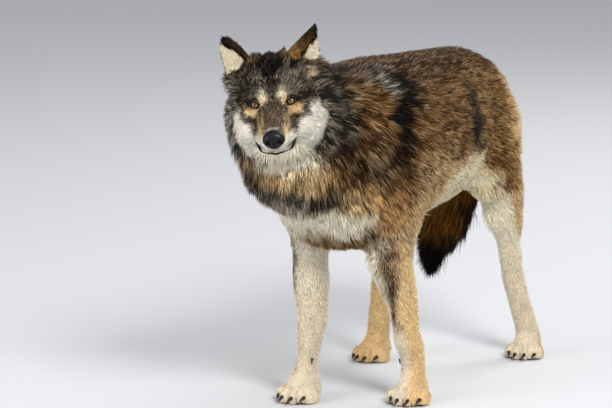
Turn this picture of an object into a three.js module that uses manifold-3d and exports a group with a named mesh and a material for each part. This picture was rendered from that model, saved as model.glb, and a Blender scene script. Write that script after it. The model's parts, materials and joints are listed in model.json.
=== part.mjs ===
// A grey wolf in winter coat, life size, standing, with its head turned to its left.
// Millimetres, +Z up, +X to the wolf's left, -Y the way its body faces. The origin is on the floor, below
// the middle of the whole animal. Every surface is that of the coat's tips.
//
// The flesh is one smooth distance field, made of ellipsoids and of tubes with oval sections that melt
// into each other. It is meshed part by part on graded grids, simplified, and divided by flat cuts.
import * as THREE from "three";
import Module from "manifold-3d";
import { SimplifyModifier } from "three/addons/modifiers/SimplifyModifier.js";
import { mergeVertices } from "three/addons/utils/BufferGeometryUtils.js";

const wasm = await Module();
wasm.setup();

// ---- Driving dimensions, measured from the middle of the forefeet ----
const GAP = 0.3; // clearance between neighbouring parts
const SWELLING = 1.3 * GAP; // growth of a part before its neighbour is cut with it
const WITHERS = 742; // height of the shoulders
const CROUP = 724; // height of the hips
const CHEST_FLOOR = 334; // height of the breast's lowest hair
const TUCK_UP = 412; // height of the belly in front of the thighs
const CHEST_HALF_WIDTH = 150;
const LOIN_HALF_WIDTH = 134;
const NECK_RADIUS = 122;
const EYES_MIDDLE = [-10, -380, 690]; // the point between the eyes
const HEAD_TURN = 25; // degrees to the left
const HEAD_DROP = 8; // degrees of the muzzle below level
const HEAD_TILT = -6.5; // degrees, left side raised
const EYE_SPACING = 74; // between the middles of the eyeballs
const EYE_RADIUS = 13;
const MUZZLE_LENGTH = 112; // from the eyes to the nose
const MUZZLE_HALF_WIDTH = 31;
const EAR_HEIGHT = 98;
const EAR_HALF_WIDTH = 35;
const EAR_THICKNESS = 8;
const TAIL_RADIUS = 58;
const RUMP_SHIFT = -18; // the hips lie to the right of the shoulders
const FOREFEET = { left: [108, 46], right: [-108, -42] }; // x and y of each foot's middle
const ELBOWS = { left: [87, -4, 325], right: [-98, -36, 335] };
const HINDFEET = { left: [132, 620], right: [-162, 428] };
const HOCKS = { left: [104, 592, 192], right: [-160, 452, 195] };
const CARPUS_HEIGHT = 150;
const FOOT_SIZES = { fore: 1, hind: 0.93 };
const FOOT_TURN = 7; // degrees outwards
const TOES = [[-34, 30], [-12.5, 50], [12.5, 50], [34, 30]]; // across and ahead of the foot's middle
const TOE_LENGTH = 27;
const CLAW_LENGTH = 24;
const CLAW_RADIUS = 4.8;
const CLAW_BEND = 0.35; // drop of its tip, as a share of its length
const FORELEG_CUT = 322; // where the legs' own parts begin
const HINDLEG_CUT = 374;
const SIDES = { left: 1, right: -1 };

const v = (...p) => new THREE.Vector3(...p);

// ---- Distance fields: functions of a point, negative inside ----
// Two distances melted together: the lesser one, rounded off over a width where they are alike.
function melt(a, b, width) {
  const near = Math.max(width - Math.abs(a - b), 0) / width;
  return Math.min(a, b) - (near * near * width) / 4;
}

const union = (width, fields) => (p) =>
  fields.reduce((least, field) => melt(least, field(p), width), Infinity);

// How far an offset reaches beyond an oval, in its own direction.
function beyondOval(x, y, z, rx, ry, rz) {
  const share = Math.hypot(x / rx, y / ry, z / rz);
  return share < 1e-6 ? -Math.min(rx, ry, rz) : Math.hypot(x, y, z) * (1 - 1 / share);
}

// turn is degrees about X, Y and Z.
function ellipsoid(centre, radii, turn = [0, 0, 0]) {
  const place = turned(turn).setPosition(...centre);
  return within(place, (q) => beyondOval(q.x, q.y, q.z, ...radii));
}

function turned(turn, order = "XYZ") {
  const angles = turn.map(THREE.MathUtils.degToRad);
  return new THREE.Matrix4().makeRotationFromEuler(new THREE.Euler(...angles, order));
}

// A field that was made in a frame of its own.
function within(place, field) {
  const back = place.clone().invert();
  return (p) => field(p.clone().applyMatrix4(back));
}

// A tube through stations of [centre, half width, reach above, reach below]. The width lies along the
// side vector. Above is square to it and to the curve: up, where the tube runs back, and back, where it
// runs down.
const STEPS_PER_STATION = 4;
function tube(stations, side = v(1, 0, 0)) {
  const spots = new THREE.CatmullRomCurve3(stations.map(([centre]) => v(...centre)));
  const sizes = new THREE.CatmullRomCurve3(stations.map(([, ...reaches]) => v(...reaches)));
  const count = (stations.length - 1) * STEPS_PER_STATION;
  const pieces = Array.from({ length: count }, (_, i) => {
    const start = spots.getPoint(i / count);
    const ahead = spots.getPoint((i + 1) / count).sub(start);
    const length = ahead.length();
    ahead.divideScalar(length);
    const across = side.clone().addScaledVector(ahead, -ahead.dot(side)).normalize();
    const above = across.clone().cross(ahead);
    const from = sizes.getPoint(i / count);
    const to = sizes.getPoint((i + 1) / count);
    return { start, ahead, length, across, above, from, to };
  });
  const offset = v();
  const reach = v();
  return (p) => {
    let [nearest, held, least] = [pieces[0], 0, Infinity];
    for (const piece of pieces) {
      offset.subVectors(p, piece.start);
      const t = offset.dot(piece.ahead);
      const kept = Math.min(Math.max(t, 0), piece.length);
      const away = offset.lengthSq() - 2 * kept * t + kept * kept;
      if (away < least) [nearest, held, least] = [piece, kept, away];
    }
    offset.subVectors(p, nearest.start).addScaledVector(nearest.ahead, -held);
    reach.lerpVectors(nearest.from, nearest.to, held / nearest.length);
    const rise = offset.dot(nearest.above);
    const height = rise > 0 ? reach.y : reach.z;
    const end = Math.min(reach.x, height);
    return beyondOval(offset.dot(nearest.across), rise, offset.dot(nearest.ahead), reach.x, height, end);
  };
}

// ---- Solids ----
function solidOf(geometry) {
  const bare = geometry.clone();
  bare.deleteAttribute("normal");
  bare.deleteAttribute("uv");
  const merged = mergeVertices(bare, 1e-4);
  const vertProperties = new Float32Array(merged.attributes.position.array);
  const triVerts = new Uint32Array(merged.index.array);
  return new wasm.Manifold(new wasm.Mesh({ numProp: 3, vertProperties, triVerts }));
}

// The coordinates of a graded grid: pairs of [from, step] and the last coordinate.
function grades(...stretches) {
  const end = stretches.pop();
  return stretches.flatMap(([from, step], i) => {
    const to = i + 1 < stretches.length ? stretches[i + 1][0] : end;
    const count = Math.max(1, Math.round((to - from) / step));
    const inner = Array.from({ length: count }, (_, n) => from + ((to - from) * n) / count);
    return i + 1 < stretches.length ? inner : [...inner, end];
  });
}

// Moves a spot onto the surface along the field's slope, no further than the limit.
function settle(field, spot, limit) {
  const step = 0.5;
  const value = field(spot);
  const steps = [v(step, 0, 0), v(0, step, 0), v(0, 0, step)];
  const slope = v(...steps.map((d) => field(d.add(spot)) - value));
  slope.divideScalar(step);
  const move = slope.multiplyScalar(-value / Math.max(slope.lengthSq(), 0.1));
  spot.add(move.clampLength(0, limit));
}

// Surface nets. Each grid cell that the surface crosses gets one vertex, moved onto the surface, and each
// grid edge that it crosses gets a face between the four cells around it. The grid's border counts as
// outside. The mesh is then simplified to about the number of triangles asked for.
async function meshed(field, [xs, ys, zs], triangles) {
  const [nx, ny, nz] = [xs.length, ys.length, zs.length];
  const index = (i, j, k) => (i * ny + j) * nz + k;
  const edge = (i, j, k) => i < 1 || j < 1 || k < 1 || i > nx - 2 || j > ny - 2 || k > nz - 2;
  const values = new Float64Array(nx * ny * nz);
  const corner = v();
  for (let i = 0; i < nx; i++)
    for (let j = 0; j < ny; j++)
      for (let k = 0; k < nz; k++) {
        const value = field(corner.set(xs[i], ys[j], zs[k]));
        values[index(i, j, k)] = edge(i, j, k) ? Math.max(value, 1) : value;
      }
  const corners = [0, 1, 2, 3, 4, 5, 6, 7].map((c) => [c & 1, (c >> 1) & 1, c >> 2]);
  const edges = [1, 2, 4].flatMap((bit) => corners.map((_, a) => [a, a | bit]).filter(([a, b]) => a !== b));
  const positions = [];
  const vertexOf = new Map();
  for (let i = 0; i < nx - 1; i++)
    for (let j = 0; j < ny - 1; j++)
      for (let k = 0; k < nz - 1; k++) {
        const at = corners.map(([a, b, c]) => values[index(i + a, j + b, k + c)]);
        const spot = v();
        let crossings = 0;
        for (const [a, b] of edges) {
          if (at[a] < 0 === at[b] < 0) continue;
          const share = at[a] / (at[a] - at[b]);
          const ends = [corners[a], corners[b]].map(([x, y, z]) => v(xs[i + x], ys[j + y], zs[k + z]));
          spot.add(ends[0].lerp(ends[1], share));
          crossings++;
        }
        if (!crossings) continue;
        spot.divideScalar(crossings);
        const cell = Math.min(xs[i + 1] - xs[i], ys[j + 1] - ys[j], zs[k + 1] - zs[k]);
        if (!edge(i, j, k) && !edge(i + 1, j + 1, k + 1)) settle(field, spot, cell / 2);
        vertexOf.set(index(i, j, k), positions.length / 3);
        positions.push(...spot);
      }
  const faces = [];
  const point = (n) => v(...positions.slice(3 * n, 3 * n + 3));
  const addFace = (cells, flip) => {
    const [a, b, c, d] = (flip ? cells.reverse() : cells).map((cell) => vertexOf.get(cell));
    const short = point(a).distanceTo(point(c)) < point(b).distanceTo(point(d));
    faces.push(...(short ? [a, b, c, a, c, d] : [b, c, d, b, d, a]));
  };
  for (let i = 0; i < nx - 1; i++)
    for (let j = 0; j < ny - 1; j++)
      for (let k = 0; k < nz - 1; k++) {
        const here = values[index(i, j, k)] < 0;
        const cell = (a, b, c) => index(i - a, j - b, k - c);
        if (here !== values[index(i + 1, j, k)] < 0)
          addFace([cell(0, 1, 1), cell(0, 0, 1), cell(0, 0, 0), cell(0, 1, 0)], !here);
        if (here !== values[index(i, j + 1, k)] < 0)
          addFace([cell(1, 0, 1), cell(1, 0, 0), cell(0, 0, 0), cell(0, 0, 1)], !here);
        if (here !== values[index(i, j, k + 1)] < 0)
          addFace([cell(1, 1, 0), cell(0, 1, 0), cell(0, 0, 0), cell(1, 0, 0)], !here);
      }
  const geometry = new THREE.BufferGeometry();
  geometry.setAttribute("position", new THREE.Float32BufferAttribute(positions, 3));
  geometry.setIndex(faces);
  return new SimplifyModifier().modify(geometry, (positions.length / 3) - triangles / 2);
}

// The same mesh with its surface moved out.
function swollen(geometry) {
  const grown = geometry.clone();
  grown.computeVertexNormals();
  const { position, normal } = grown.attributes;
  for (let i = 0; i < position.count; i++) {
    const outwards = v().fromBufferAttribute(normal, i);
    position.setXYZ(i, ...v().fromBufferAttribute(position, i).addScaledVector(outwards, SWELLING));
  }
  return grown;
}

// A block between two opposite corners.
function block(low, high) {
  const geometry = new THREE.BoxGeometry(...high.map((h, i) => h - low[i]));
  return solidOf(geometry.translate(...high.map((h, i) => (h + low[i]) / 2)));
}

// All that lies beyond a plane in a direction, half a gap away from it.
function beyond(point, direction) {
  const size = 3000;
  const geometry = new THREE.BoxGeometry(size, size, size).translate(0, 0, size / 2 + GAP / 2);
  const turn = new THREE.Quaternion().setFromUnitVectors(v(0, 0, 1), direction.clone().normalize());
  geometry.applyQuaternion(turn);
  return solidOf(geometry.translate(...point));
}

// ---- The body's forms ----
function trunkForm() {
  // x, y, middle height, half width, top and bottom heights
  const sections = [
    [0, -82, 508, 108, 640, 392],
    [0, -10, 535, 138, 722, 348],
    [0, 70, 545, CHEST_HALF_WIDTH, WITHERS, CHEST_FLOOR - 4],
    [0, 160, 550, CHEST_HALF_WIDTH + 2, WITHERS - 3, CHEST_FLOOR + 4],
    [0, 260, 555, CHEST_HALF_WIDTH, WITHERS - 6, CHEST_FLOOR + 20],
    [0.3 * RUMP_SHIFT, 360, 560, LOIN_HALF_WIDTH + 6, WITHERS - 10, CHEST_FLOOR + 46],
    [0.7 * RUMP_SHIFT, 440, 565, LOIN_HALF_WIDTH, CROUP + 3, TUCK_UP],
    [RUMP_SHIFT, 520, 572, LOIN_HALF_WIDTH - 6, CROUP, TUCK_UP + 28],
    [RUMP_SHIFT, 592, 572, LOIN_HALF_WIDTH - 20, CROUP - 20, TUCK_UP + 46],
    [RUMP_SHIFT, 650, 562, 76, CROUP - 66, TUCK_UP + 66],
  ];
  return tube(sections.map(([x, y, z, half, top, bottom]) => [[x, y, z], half, top - z, z - bottom]));
}

// The neck, from behind the ears down to the shoulders and the breast.
function neckForm() {
  const nape = tube([
    [[-46, -266, 664], NECK_RADIUS - 14, 94, 130],
    [[-38, -185, 642], NECK_RADIUS + 4, 106, 160],
    [[-20, -95, 612], NECK_RADIUS + 16, 118, 178],
    [[-5, 0, 580], NECK_RADIUS + 20, 130, 170],
    [[0, 70, 560], NECK_RADIUS + 14, 140, 150],
  ]);
  const mane = ellipsoid([-38, -188, 546], [NECK_RADIUS + 16, 106, 118], [0, 0, 12]);
  const breast = ellipsoid([-12, -80, 432], [NECK_RADIUS + 12, 100, 88]);
  return union(50, [nape, mane, breast]);
}

const footPlace = ([x, y], size, turn) =>
  turned([0, 0, turn]).setPosition(x, y, 0).scale(v(size, size, size));

// Toes and pads of a foot.
function footForm(spot, size, turn) {
  const toes = TOES.map(([across, ahead]) => ellipsoid([across, -ahead, 16], [15.5, TOE_LENGTH, 20]));
  const pads = [ellipsoid([0, 2, 24], [33, 36, 28]), ellipsoid([0, -18, 32], [30, 40, 24], [-18, 0, 0])];
  return within(footPlace(spot, size, turn), union(6, [...toes, union(14, pads)]));
}

// A leg from the top down: above is its back and below its front.
function forelegForm(side) {
  const s = SIDES[side];
  const [x, y] = FOREFEET[side];
  const [ex, ey, ez] = ELBOWS[side];
  const limb = tube([
    [[s * 92, 0.5 * ey + 10, 490], 60, 78, 72],
    [[ex, ey + 10, ez + 66], 54, 70, 60],
    [[ex, ey, ez], 43, 56, 50],
    [[0.7 * ex + 0.3 * x, 0.6 * ey + 0.4 * y, 248], 34, 41, 37],
    [[0.4 * ex + 0.6 * x, 0.3 * ey + 0.7 * y, CARPUS_HEIGHT], 28, 32, 32],
    [[x - s, 0.94 * y, 100], 26.5, 29, 29],
    [[x, y, 54], 27.5, 32, 28],
  ]);
  const shoulder = ellipsoid([s * 90, 20, 560], [60, 92, 128], [12, 0, 0]);
  return union(20, [union(40, [shoulder, limb]), footForm([x, y], FOOT_SIZES.fore, s * FOOT_TURN)]);
}

function hindlegForm(side) {
  const s = SIDES[side];
  const [x, y] = HINDFEET[side];
  const [hx, hy, hz] = HOCKS[side];
  const knee = [s * 90 + 0.55 * RUMP_SHIFT, 0.45 * hy + 244, 425];
  const limb = tube([
    [[s * 72 + RUMP_SHIFT, 560, 560], 62, 96, 104],
    [knee, 53, 84, 78],
    [[0.45 * knee[0] + 0.55 * hx, 0.7 * hy + 0.3 * knee[1] - 6, 335], 39, 62, 58],
    [[hx - s * 3, hy - 16, hz + 70], 26, 34, 30],
    [[hx, hy, hz], 26, 31, 30],
    [[(hx + x) / 2, (hy + y) / 2, 120], 26, 26, 26],
    [[x, y + 2, 52], 27, 28, 26],
  ]);
  return union(20, [limb, footForm([x, y], FOOT_SIZES.hind, s * FOOT_TURN)]);
}

const headPlace = turned([HEAD_DROP, HEAD_TILT, HEAD_TURN], "ZXY").setPosition(...EYES_MIDDLE);

// In the head's own frame: the origin is between the eyes and -Y is the way the face looks.
function headForm() {
  const pair = (make) => Object.values(SIDES).map(make);
  const muzzle = tube([
    [[0, 25 - MUZZLE_LENGTH, -46], MUZZLE_HALF_WIDTH - 4, 21, 20],
    [[0, 38 - MUZZLE_LENGTH, -43], MUZZLE_HALF_WIDTH, 23, 22],
    [[0, -50, -34], MUZZLE_HALF_WIDTH + 3, 27, 26],
    [[0, -12, -20], MUZZLE_HALF_WIDTH + 8, 29, 32],
    [[0, 20, -12], MUZZLE_HALF_WIDTH + 19, 34, 42],
  ]);
  const lips = tube([
    [[0, 22 - MUZZLE_LENGTH, -58], MUZZLE_HALF_WIDTH - 3, 16, 13],
    [[0, -70, -58], MUZZLE_HALF_WIDTH + 6, 20, 18],
    [[0, -35, -58], MUZZLE_HALF_WIDTH + 17, 24, 22],
    [[0, 10, -54], MUZZLE_HALF_WIDTH + 28, 28, 28],
  ]);
  const jaw = tube([
    [[0, 34 - MUZZLE_LENGTH, -72], 20, 13, 14],
    [[0, -50, -76], 27, 16, 16],
    [[0, 10, -82], 46, 22, 22],
  ]);
  const face = [
    ellipsoid([0, 26, 8], [54, 42, 32]), // forehead
    ...pair((s) => ellipsoid([s * 28, 11, 17], [20, 18, 12])), // brows
    ...pair((s) => ellipsoid([s * 41, 13.5, -4], [26, 18, 20])), // around the eyes
    ...pair((s) => ellipsoid([s * 52, 40, -26], [38, 46, 42])), // cheekbones
    ...pair((s) => ellipsoid([s * 50, 26, -58], [40, 46, 37])), // cheeks
  ];
  const back = [
    ellipsoid([0, 84, 14], [78, 78, 62]), // skull
    ...pair((s) => ellipsoid([s * 74, 96, -34], [46, 50, 62], [0, 0, s * 10])), // side whiskers
    ...pair((s) => ellipsoid([s * 58, 88, -84], [62, 56, 54])), // lower ruff
    ellipsoid([0, 60, -92], [66, 60, 44]), // throat
  ];
  return union(16, [union(10, [muzzle, lips, jaw]), union(14, face), union(24, back)]);
}

// ---- Flesh ----
const sides = Object.keys(SIDES);
const legForms = { fore: forelegForm, hind: hindlegForm };
const body = union(40, [
  union(70, [trunkForm(), neckForm()]),
  ...sides.flatMap((side) => [forelegForm(side), hindlegForm(side)]),
]);
const bodyAndHead = union(30, [body, within(headPlace, headForm())]);

const neckPlane = [v(0, -50, 590), v(0, 0.917, -0.398)]; // towards the trunk
// Behind the ears and down under the jaw.
const headPlane = [
  v(0, 84, -28).applyMatrix4(headPlace),
  v(0, 0.837, -0.549).transformDirection(headPlace),
];
const away = ([point, direction]) => beyond(point, direction.clone().negate());

// The part of the hind legs that the trunk leaves out.
const hindlegRegion = () => block([-400, 345, 0], [400, 900, HINDLEG_CUT + GAP / 2]);

function trunkSkin() {
  const grid = [grades([-240, 24], 240), grades([-200, 28], 780), grades([285, 20], [400, 28], 800)];
  return meshed(bodyAndHead, grid, 1900);
}

const cutTrunk = (solid) =>
  solid
    .intersect(beyond(...neckPlane))
    .intersect(beyond(v(0, 0, FORELEG_CUT), v(0, 0, 1)))
    .subtract(hindlegRegion());

function neckSkin() {
  const grid = [grades([-240, 22], 230), grades([-440, 22], 110), grades([300, 22], 820)];
  return meshed(bodyAndHead, grid, 1250);
}

const cutNeck = (solid) => solid.intersect(away(neckPlane)).intersect(beyond(...headPlane));

// The head is meshed in its own frame: finely in front of the eyes, coarsely in the ruff.
async function headSkin() {
  const headFirst = within(headPlace.clone().invert(), bodyAndHead);
  const grid = [
    grades([-190, 16], [-62, 7], [62, 16], 190),
    grades([-150, 7], [26, 16], 180),
    grades([-260, 18], [-100, 7], [32, 12], 120),
  ];
  return (await meshed(headFirst, grid, 2500)).applyMatrix4(headPlace);
}

// A leg's own part, from its foot up to its cut.
function legSkin(kind, side) {
  const [[x, y], cut] = kind === "fore" ? [FOREFEET[side], FORELEG_CUT] : [HINDFEET[side], HINDLEG_CUT];
  const grid = [
    grades([x - 85, 9], x + 85),
    grades([y - 115, 9], y + 130),
    grades([-18, 8], [55, 18], cut + 36),
  ];
  return meshed(legForms[kind](side), grid, 700);
}

function cutLeg(kind, solid) {
  const cut = kind === "fore" ? FORELEG_CUT : HINDLEG_CUT;
  return solid.intersect(block([-500, -500, 0], [500, 900, cut - GAP / 2]));
}

function tailForm() {
  return tube([
    [[RUMP_SHIFT, 640, 596], 38, 34, 40],
    [[-26, 700, 562], 45, 40, 44],
    [[-48, 704, 460], TAIL_RADIUS - 8, 44, 46],
    [[-76, 674, 355], TAIL_RADIUS - 2, 50, 50],
    [[-94, 636, 262], TAIL_RADIUS - 4, 50, 50],
    [[-100, 610, 188], 34, 34, 34],
    [[-100, 598, 154], 14, 14, 14],
  ]);
}

function tailSkin() {
  const grid = [grades([-180, 16], 80), grades([530, 16], 800), grades([100, 18], 720)];
  return meshed(tailForm(), grid, 400);
}

async function noseSkin() {
  const form = union(10, [
    ellipsoid([0, 8 - MUZZLE_LENGTH, -47], [22, 15, 17]),
    ellipsoid([0, 10 - MUZZLE_LENGTH, -60], [9, 11, 12]),
  ]);
  const grid = [
    grades([-36, 5], 36),
    grades([-26 - MUZZLE_LENGTH, 5], 34 - MUZZLE_LENGTH),
    grades([-84, 5], -14),
  ];
  return (await meshed(form, grid, 170)).applyMatrix4(headPlace);
}

// A cupped ear that stands on its base and opens towards -Y: sections of a back and a front arc.
function earGeometry() {
  const sections = 7;
  const arcSteps = 6;
  const ring = (u) => {
    const half = EAR_HALF_WIDTH * (1 - 0.985 * u) ** 0.56 * (1.06 + 0.4 * u);
    const wall = Math.min(EAR_THICKNESS * (1 - 0.45 * u), half * 0.5);
    const arc = (halfWidth, depth) =>
      Array.from({ length: arcSteps }, (_, i) => {
        const turn = (Math.PI * (i + 0.5)) / arcSteps;
        return v(-halfWidth * Math.cos(turn), depth * Math.sin(turn) ** 1.5, u * EAR_HEIGHT);
      });
    const cup = half * (0.85 - 0.35 * u);
    return [...arc(half, cup), ...arc(half - wall * 0.35, cup - wall).reverse()];
  };
  const rings = Array.from({ length: sections + 1 }, (_, i) => ring((i / sections) ** 0.8));
  const around = rings[0].length;
  const faces = [];
  for (let r = 0; r < sections; r++)
    for (let n = 0; n < around; n++) {
      const [a, b] = [r * around + n, r * around + ((n + 1) % around)];
      faces.push(a, a + around, b, b, a + around, b + around);
    }
  for (const [base, flip] of [[0, false], [sections * around, true]])
    for (let n = 0; n < arcSteps - 1; n++) {
      const [a, b, c, d] = [n, n + 1, around - 2 - n, around - 1 - n].map((m) => base + m);
      faces.push(...(flip ? [a, d, c, a, c, b] : [a, c, d, a, b, c]));
    }
  const geometry = new THREE.BufferGeometry().setFromPoints(rings.flat());
  return geometry.setIndex(faces);
}

// Where each ear stands in the head's frame: its base, its turns about X, Y and Z, and its size.
const EAR_PLACES = {
  left: { base: [69, 92, 39], turn: [2, 20, 38], size: 1.02 },
  right: { base: [-60, 92, 37], turn: [2, -20.5, -6], size: 0.98 },
};

function earSolid(side, rooms) {
  const { base, turn, size } = EAR_PLACES[side];
  const place = turned(turn, "ZYX").setPosition(...base).scale(v(size, size, size));
  const ear = solidOf(earGeometry().applyMatrix4(place.premultiply(headPlace)));
  return rooms.reduce((rest, room) => rest.subtract(room), ear);
}

// A claw from the origin along -Y that bends down.
function clawGeometry() {
  const geometry = new THREE.ConeGeometry(CLAW_RADIUS, CLAW_LENGTH, 6, 2).rotateX(Math.PI);
  geometry.translate(0, -CLAW_LENGTH / 2, 0);
  const spots = geometry.attributes.position;
  for (let i = 0; i < spots.count; i++)
    spots.setZ(i, spots.getZ(i) - (CLAW_BEND * spots.getY(i) ** 2) / CLAW_LENGTH);
  return geometry;
}

// The claws of a leg, each as [name, solid]. A dewclaw hangs on the inner side of each forefoot.
function clawSolids(kind, side, leg) {
  const s = SIDES[side];
  const [x, y] = kind === "fore" ? FOREFEET[side] : HINDFEET[side];
  const places = TOES.map(([across, ahead]) =>
    turned([0, 0, -across / 3]).setPosition(across, -2 - ahead - TOE_LENGTH / 2, 16),
  );
  if (kind === "fore") places.push(turned([64, 0, 0]).setPosition(-s * 24, -12, 86));
  const foot = footPlace([x, y], FOOT_SIZES[kind], s * FOOT_TURN);
  return places.map((place, i) => {
    const geometry = clawGeometry().applyMatrix4(place.premultiply(foot));
    return [`claw_${kind}_${side}_${i + 1}`, solidOf(geometry).subtract(leg)];
  });
}

// ---- The animal ----
const coat = (color) => new THREE.MeshStandardMaterial({ color, roughness: 0.95, metalness: 0 });
const materials = {
  head: coat("#a8957c"),
  neck: coat("#8d8273"),
  trunk: coat("#8f7c62"),
  tail: coat("#5a4a3d"),
  leg: coat("#c4ab86"),
  ear: coat("#6b5a48"),
  nose: new THREE.MeshStandardMaterial({ color: "#1c1a1a", roughness: 0.45, metalness: 0 }),
  eye: new THREE.MeshStandardMaterial({ color: "#b98a3c", roughness: 0.08, metalness: 0 }),
  claw: new THREE.MeshStandardMaterial({ color: "#2b2623", roughness: 0.5, metalness: 0 }),
};

function meshOf(name, solid, material) {
  const { vertProperties, triVerts } = solid.getMesh();
  const geometry = new THREE.BufferGeometry();
  geometry.setAttribute("position", new THREE.BufferAttribute(vertProperties, 3));
  geometry.setIndex(new THREE.BufferAttribute(triVerts, 1));
  geometry.computeVertexNormals();
  const mesh = new THREE.Mesh(geometry, material);
  mesh.name = name;
  return mesh;
}

async function wolf() {
  const animal = new THREE.Group();
  const add = (name, solid, material) => animal.add(meshOf(name, solid, material));
  const trunk = await trunkSkin();
  add("trunk", cutTrunk(solidOf(trunk)), materials.trunk);
  const neck = await neckSkin();
  add("neck", cutNeck(solidOf(neck)), materials.neck);
  add("tail", solidOf(await tailSkin()).subtract(solidOf(swollen(trunk))), materials.tail);
  for (const kind of ["fore", "hind"])
    for (const side of sides) {
      const leg = await legSkin(kind, side);
      add(`leg_${kind}_${side}`, cutLeg(kind, solidOf(leg)), materials.leg);
      for (const [name, claw] of clawSolids(kind, side, solidOf(swollen(leg))))
        add(name, claw, materials.claw);
    }

  const nose = await noseSkin();
  add("nose", solidOf(nose), materials.nose);
  const head = await headSkin();
  let headSolid = solidOf(head).intersect(away(headPlane)).subtract(solidOf(swollen(nose)));
  const eyes = new THREE.Group();
  eyes.applyMatrix4(headPlace);
  for (const [side, s] of Object.entries(SIDES)) {
    const eye = new THREE.Mesh(new THREE.SphereGeometry(EYE_RADIUS, 12, 8), materials.eye);
    eye.name = `eye_${side}`;
    eye.position.set((s * EYE_SPACING) / 2, 0, 0);
    eyes.add(eye);
    const socket = new THREE.SphereGeometry(EYE_RADIUS + GAP, 12, 8).translate(...eye.position);
    headSolid = headSolid.subtract(solidOf(socket.applyMatrix4(headPlace)));
    add(`ear_${side}`, earSolid(side, [head, neck].map(swollen).map(solidOf)), materials.ear);
  }
  add("head", headSolid, materials.head);
  animal.add(eyes);

  const box = new THREE.Box3().setFromObject(animal, true);
  const middle = box.getCenter(v());
  animal.position.set(-middle.x, -middle.y, -box.min.z);
  return animal;
}

export default await wolf();
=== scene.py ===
"""A grey wolf in winter coat: skin over the flesh, hair locks, eyes, lids, nose, lips, whiskers and claws.

Lengths are metres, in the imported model's own frame: +Z up, +X to the wolf's left. The charts below give
places in millimetres: on the body from HOME, the floor between the forefeet, and on the head from the point
between the eyes, in the head's own frame, where -Y is the way the face looks.
"""
import itertools
import json
import math

import bmesh
import bpy
import numpy as np
from mathutils import Matrix, Vector
from mathutils.bvhtree import BVHTree


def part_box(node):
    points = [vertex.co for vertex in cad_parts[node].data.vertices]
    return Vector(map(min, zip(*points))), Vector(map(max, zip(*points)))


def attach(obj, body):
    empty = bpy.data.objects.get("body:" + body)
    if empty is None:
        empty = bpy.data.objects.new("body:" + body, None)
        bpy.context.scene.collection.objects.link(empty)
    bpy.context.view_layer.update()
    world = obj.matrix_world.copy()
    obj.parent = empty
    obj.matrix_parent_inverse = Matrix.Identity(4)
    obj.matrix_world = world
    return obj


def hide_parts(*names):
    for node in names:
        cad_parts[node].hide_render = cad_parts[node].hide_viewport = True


bl_info = {
    "name": "Grey wolf",
    "version": (1, 0, 0),
    "blender": (4, 5, 0),
    "location": "3D View > Sidebar > Wolf",
    "description": "Skin, coat, eyes, nose, lips, whiskers and claws of a life-size grey wolf",
    "category": "Object",
}

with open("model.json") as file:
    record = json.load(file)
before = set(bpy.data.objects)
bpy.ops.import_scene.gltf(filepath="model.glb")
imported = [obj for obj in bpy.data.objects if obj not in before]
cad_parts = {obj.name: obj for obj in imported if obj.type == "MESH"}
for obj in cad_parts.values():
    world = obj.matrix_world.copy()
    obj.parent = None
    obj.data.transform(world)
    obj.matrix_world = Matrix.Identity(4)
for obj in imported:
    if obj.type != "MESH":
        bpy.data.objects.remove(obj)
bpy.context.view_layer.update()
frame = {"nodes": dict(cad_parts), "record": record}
MESHES = {name: node.data for name, node in frame["nodes"].items()}
# Where each foot's sole is, by names such as fore_left. The mounts are called sole_fore_left and so on.
SOLES = {mount["name"][5:]: np.array(mount["pos_m"]) for mount in frame["record"]["mounts"]}
MM = 0.001
FAR = 99  # millimetres, for what lies out of reach
SIDES = {"left": 1, "right": -1}
LEGS = tuple(f"leg_{kind}_{side}" for kind in ("fore", "hind") for side in SIDES)
FLESH = ("head", "neck", "trunk", "tail", "ear_left", "ear_right") + LEGS
EYE_RADIUS = 13.0
EYE_MIDDLE = 37.0  # how far the middle of an eye lies from the head's middle
NOSE_DROP = math.radians(25.82)  # the nose lies this far below the way the face looks


# ---- Numbers ----
def unit(vectors):
    """Vectors divided by their lengths."""
    return vectors / np.maximum(np.linalg.norm(vectors, axis=-1, keepdims=True), 1e-12)


def ramp(values, low, high):
    """0 below low, 1 above high, and between them 3t^2 - 2t^3."""
    t = np.clip((values - low) / (high - low), 0, 1)
    return t * t * (3 - 2 * t)


def mix(a, b, share):
    """a where the share is 0 and b where it is 1, for rows of vectors."""
    return a + (b - a) * np.asarray(share)[..., None]


def bell(values, spread):
    """exp(-(v / spread)^2)."""
    return np.exp(-((values / spread) ** 2))


def turns(count):
    """Angles spread evenly round a circle."""
    return np.arange(count) * 2 * math.pi / count


def within(places, low, high):
    """True where places lie inside a box."""
    return ((places > low) & (places < high)).all(1)


def wander(points, size, seed, waves=14):
    """Smooth noise with a spread of 1: a sum of sine waves in random directions, about size long."""
    rng = np.random.default_rng(seed)
    ways = unit(rng.normal(size=(waves, 3))) * rng.uniform(0.6, 1.6, (waves, 1)) * 2 * math.pi / size
    return np.sin(points @ ways.T + rng.uniform(0, 2 * math.pi, waves)).sum(1) / math.sqrt(waves / 2)


def warp(points, size, seed):
    """Smooth noise of its own along each axis."""
    return np.stack([wander(points, size, seed + i) for i in range(3)], 1)


def paint(code):
    """A hex colour as linear red, green and blue."""
    part = np.array([int(code[i : i + 2], 16) / 255 for i in (0, 2, 4)])
    return np.where(part <= 0.04045, part / 12.92, ((part + 0.055) / 1.055) ** 2.4)


# ---- Places ----
def middle(node):
    """The middle of a node's box."""
    low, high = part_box(node)
    return np.array((low + high) / 2)


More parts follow.
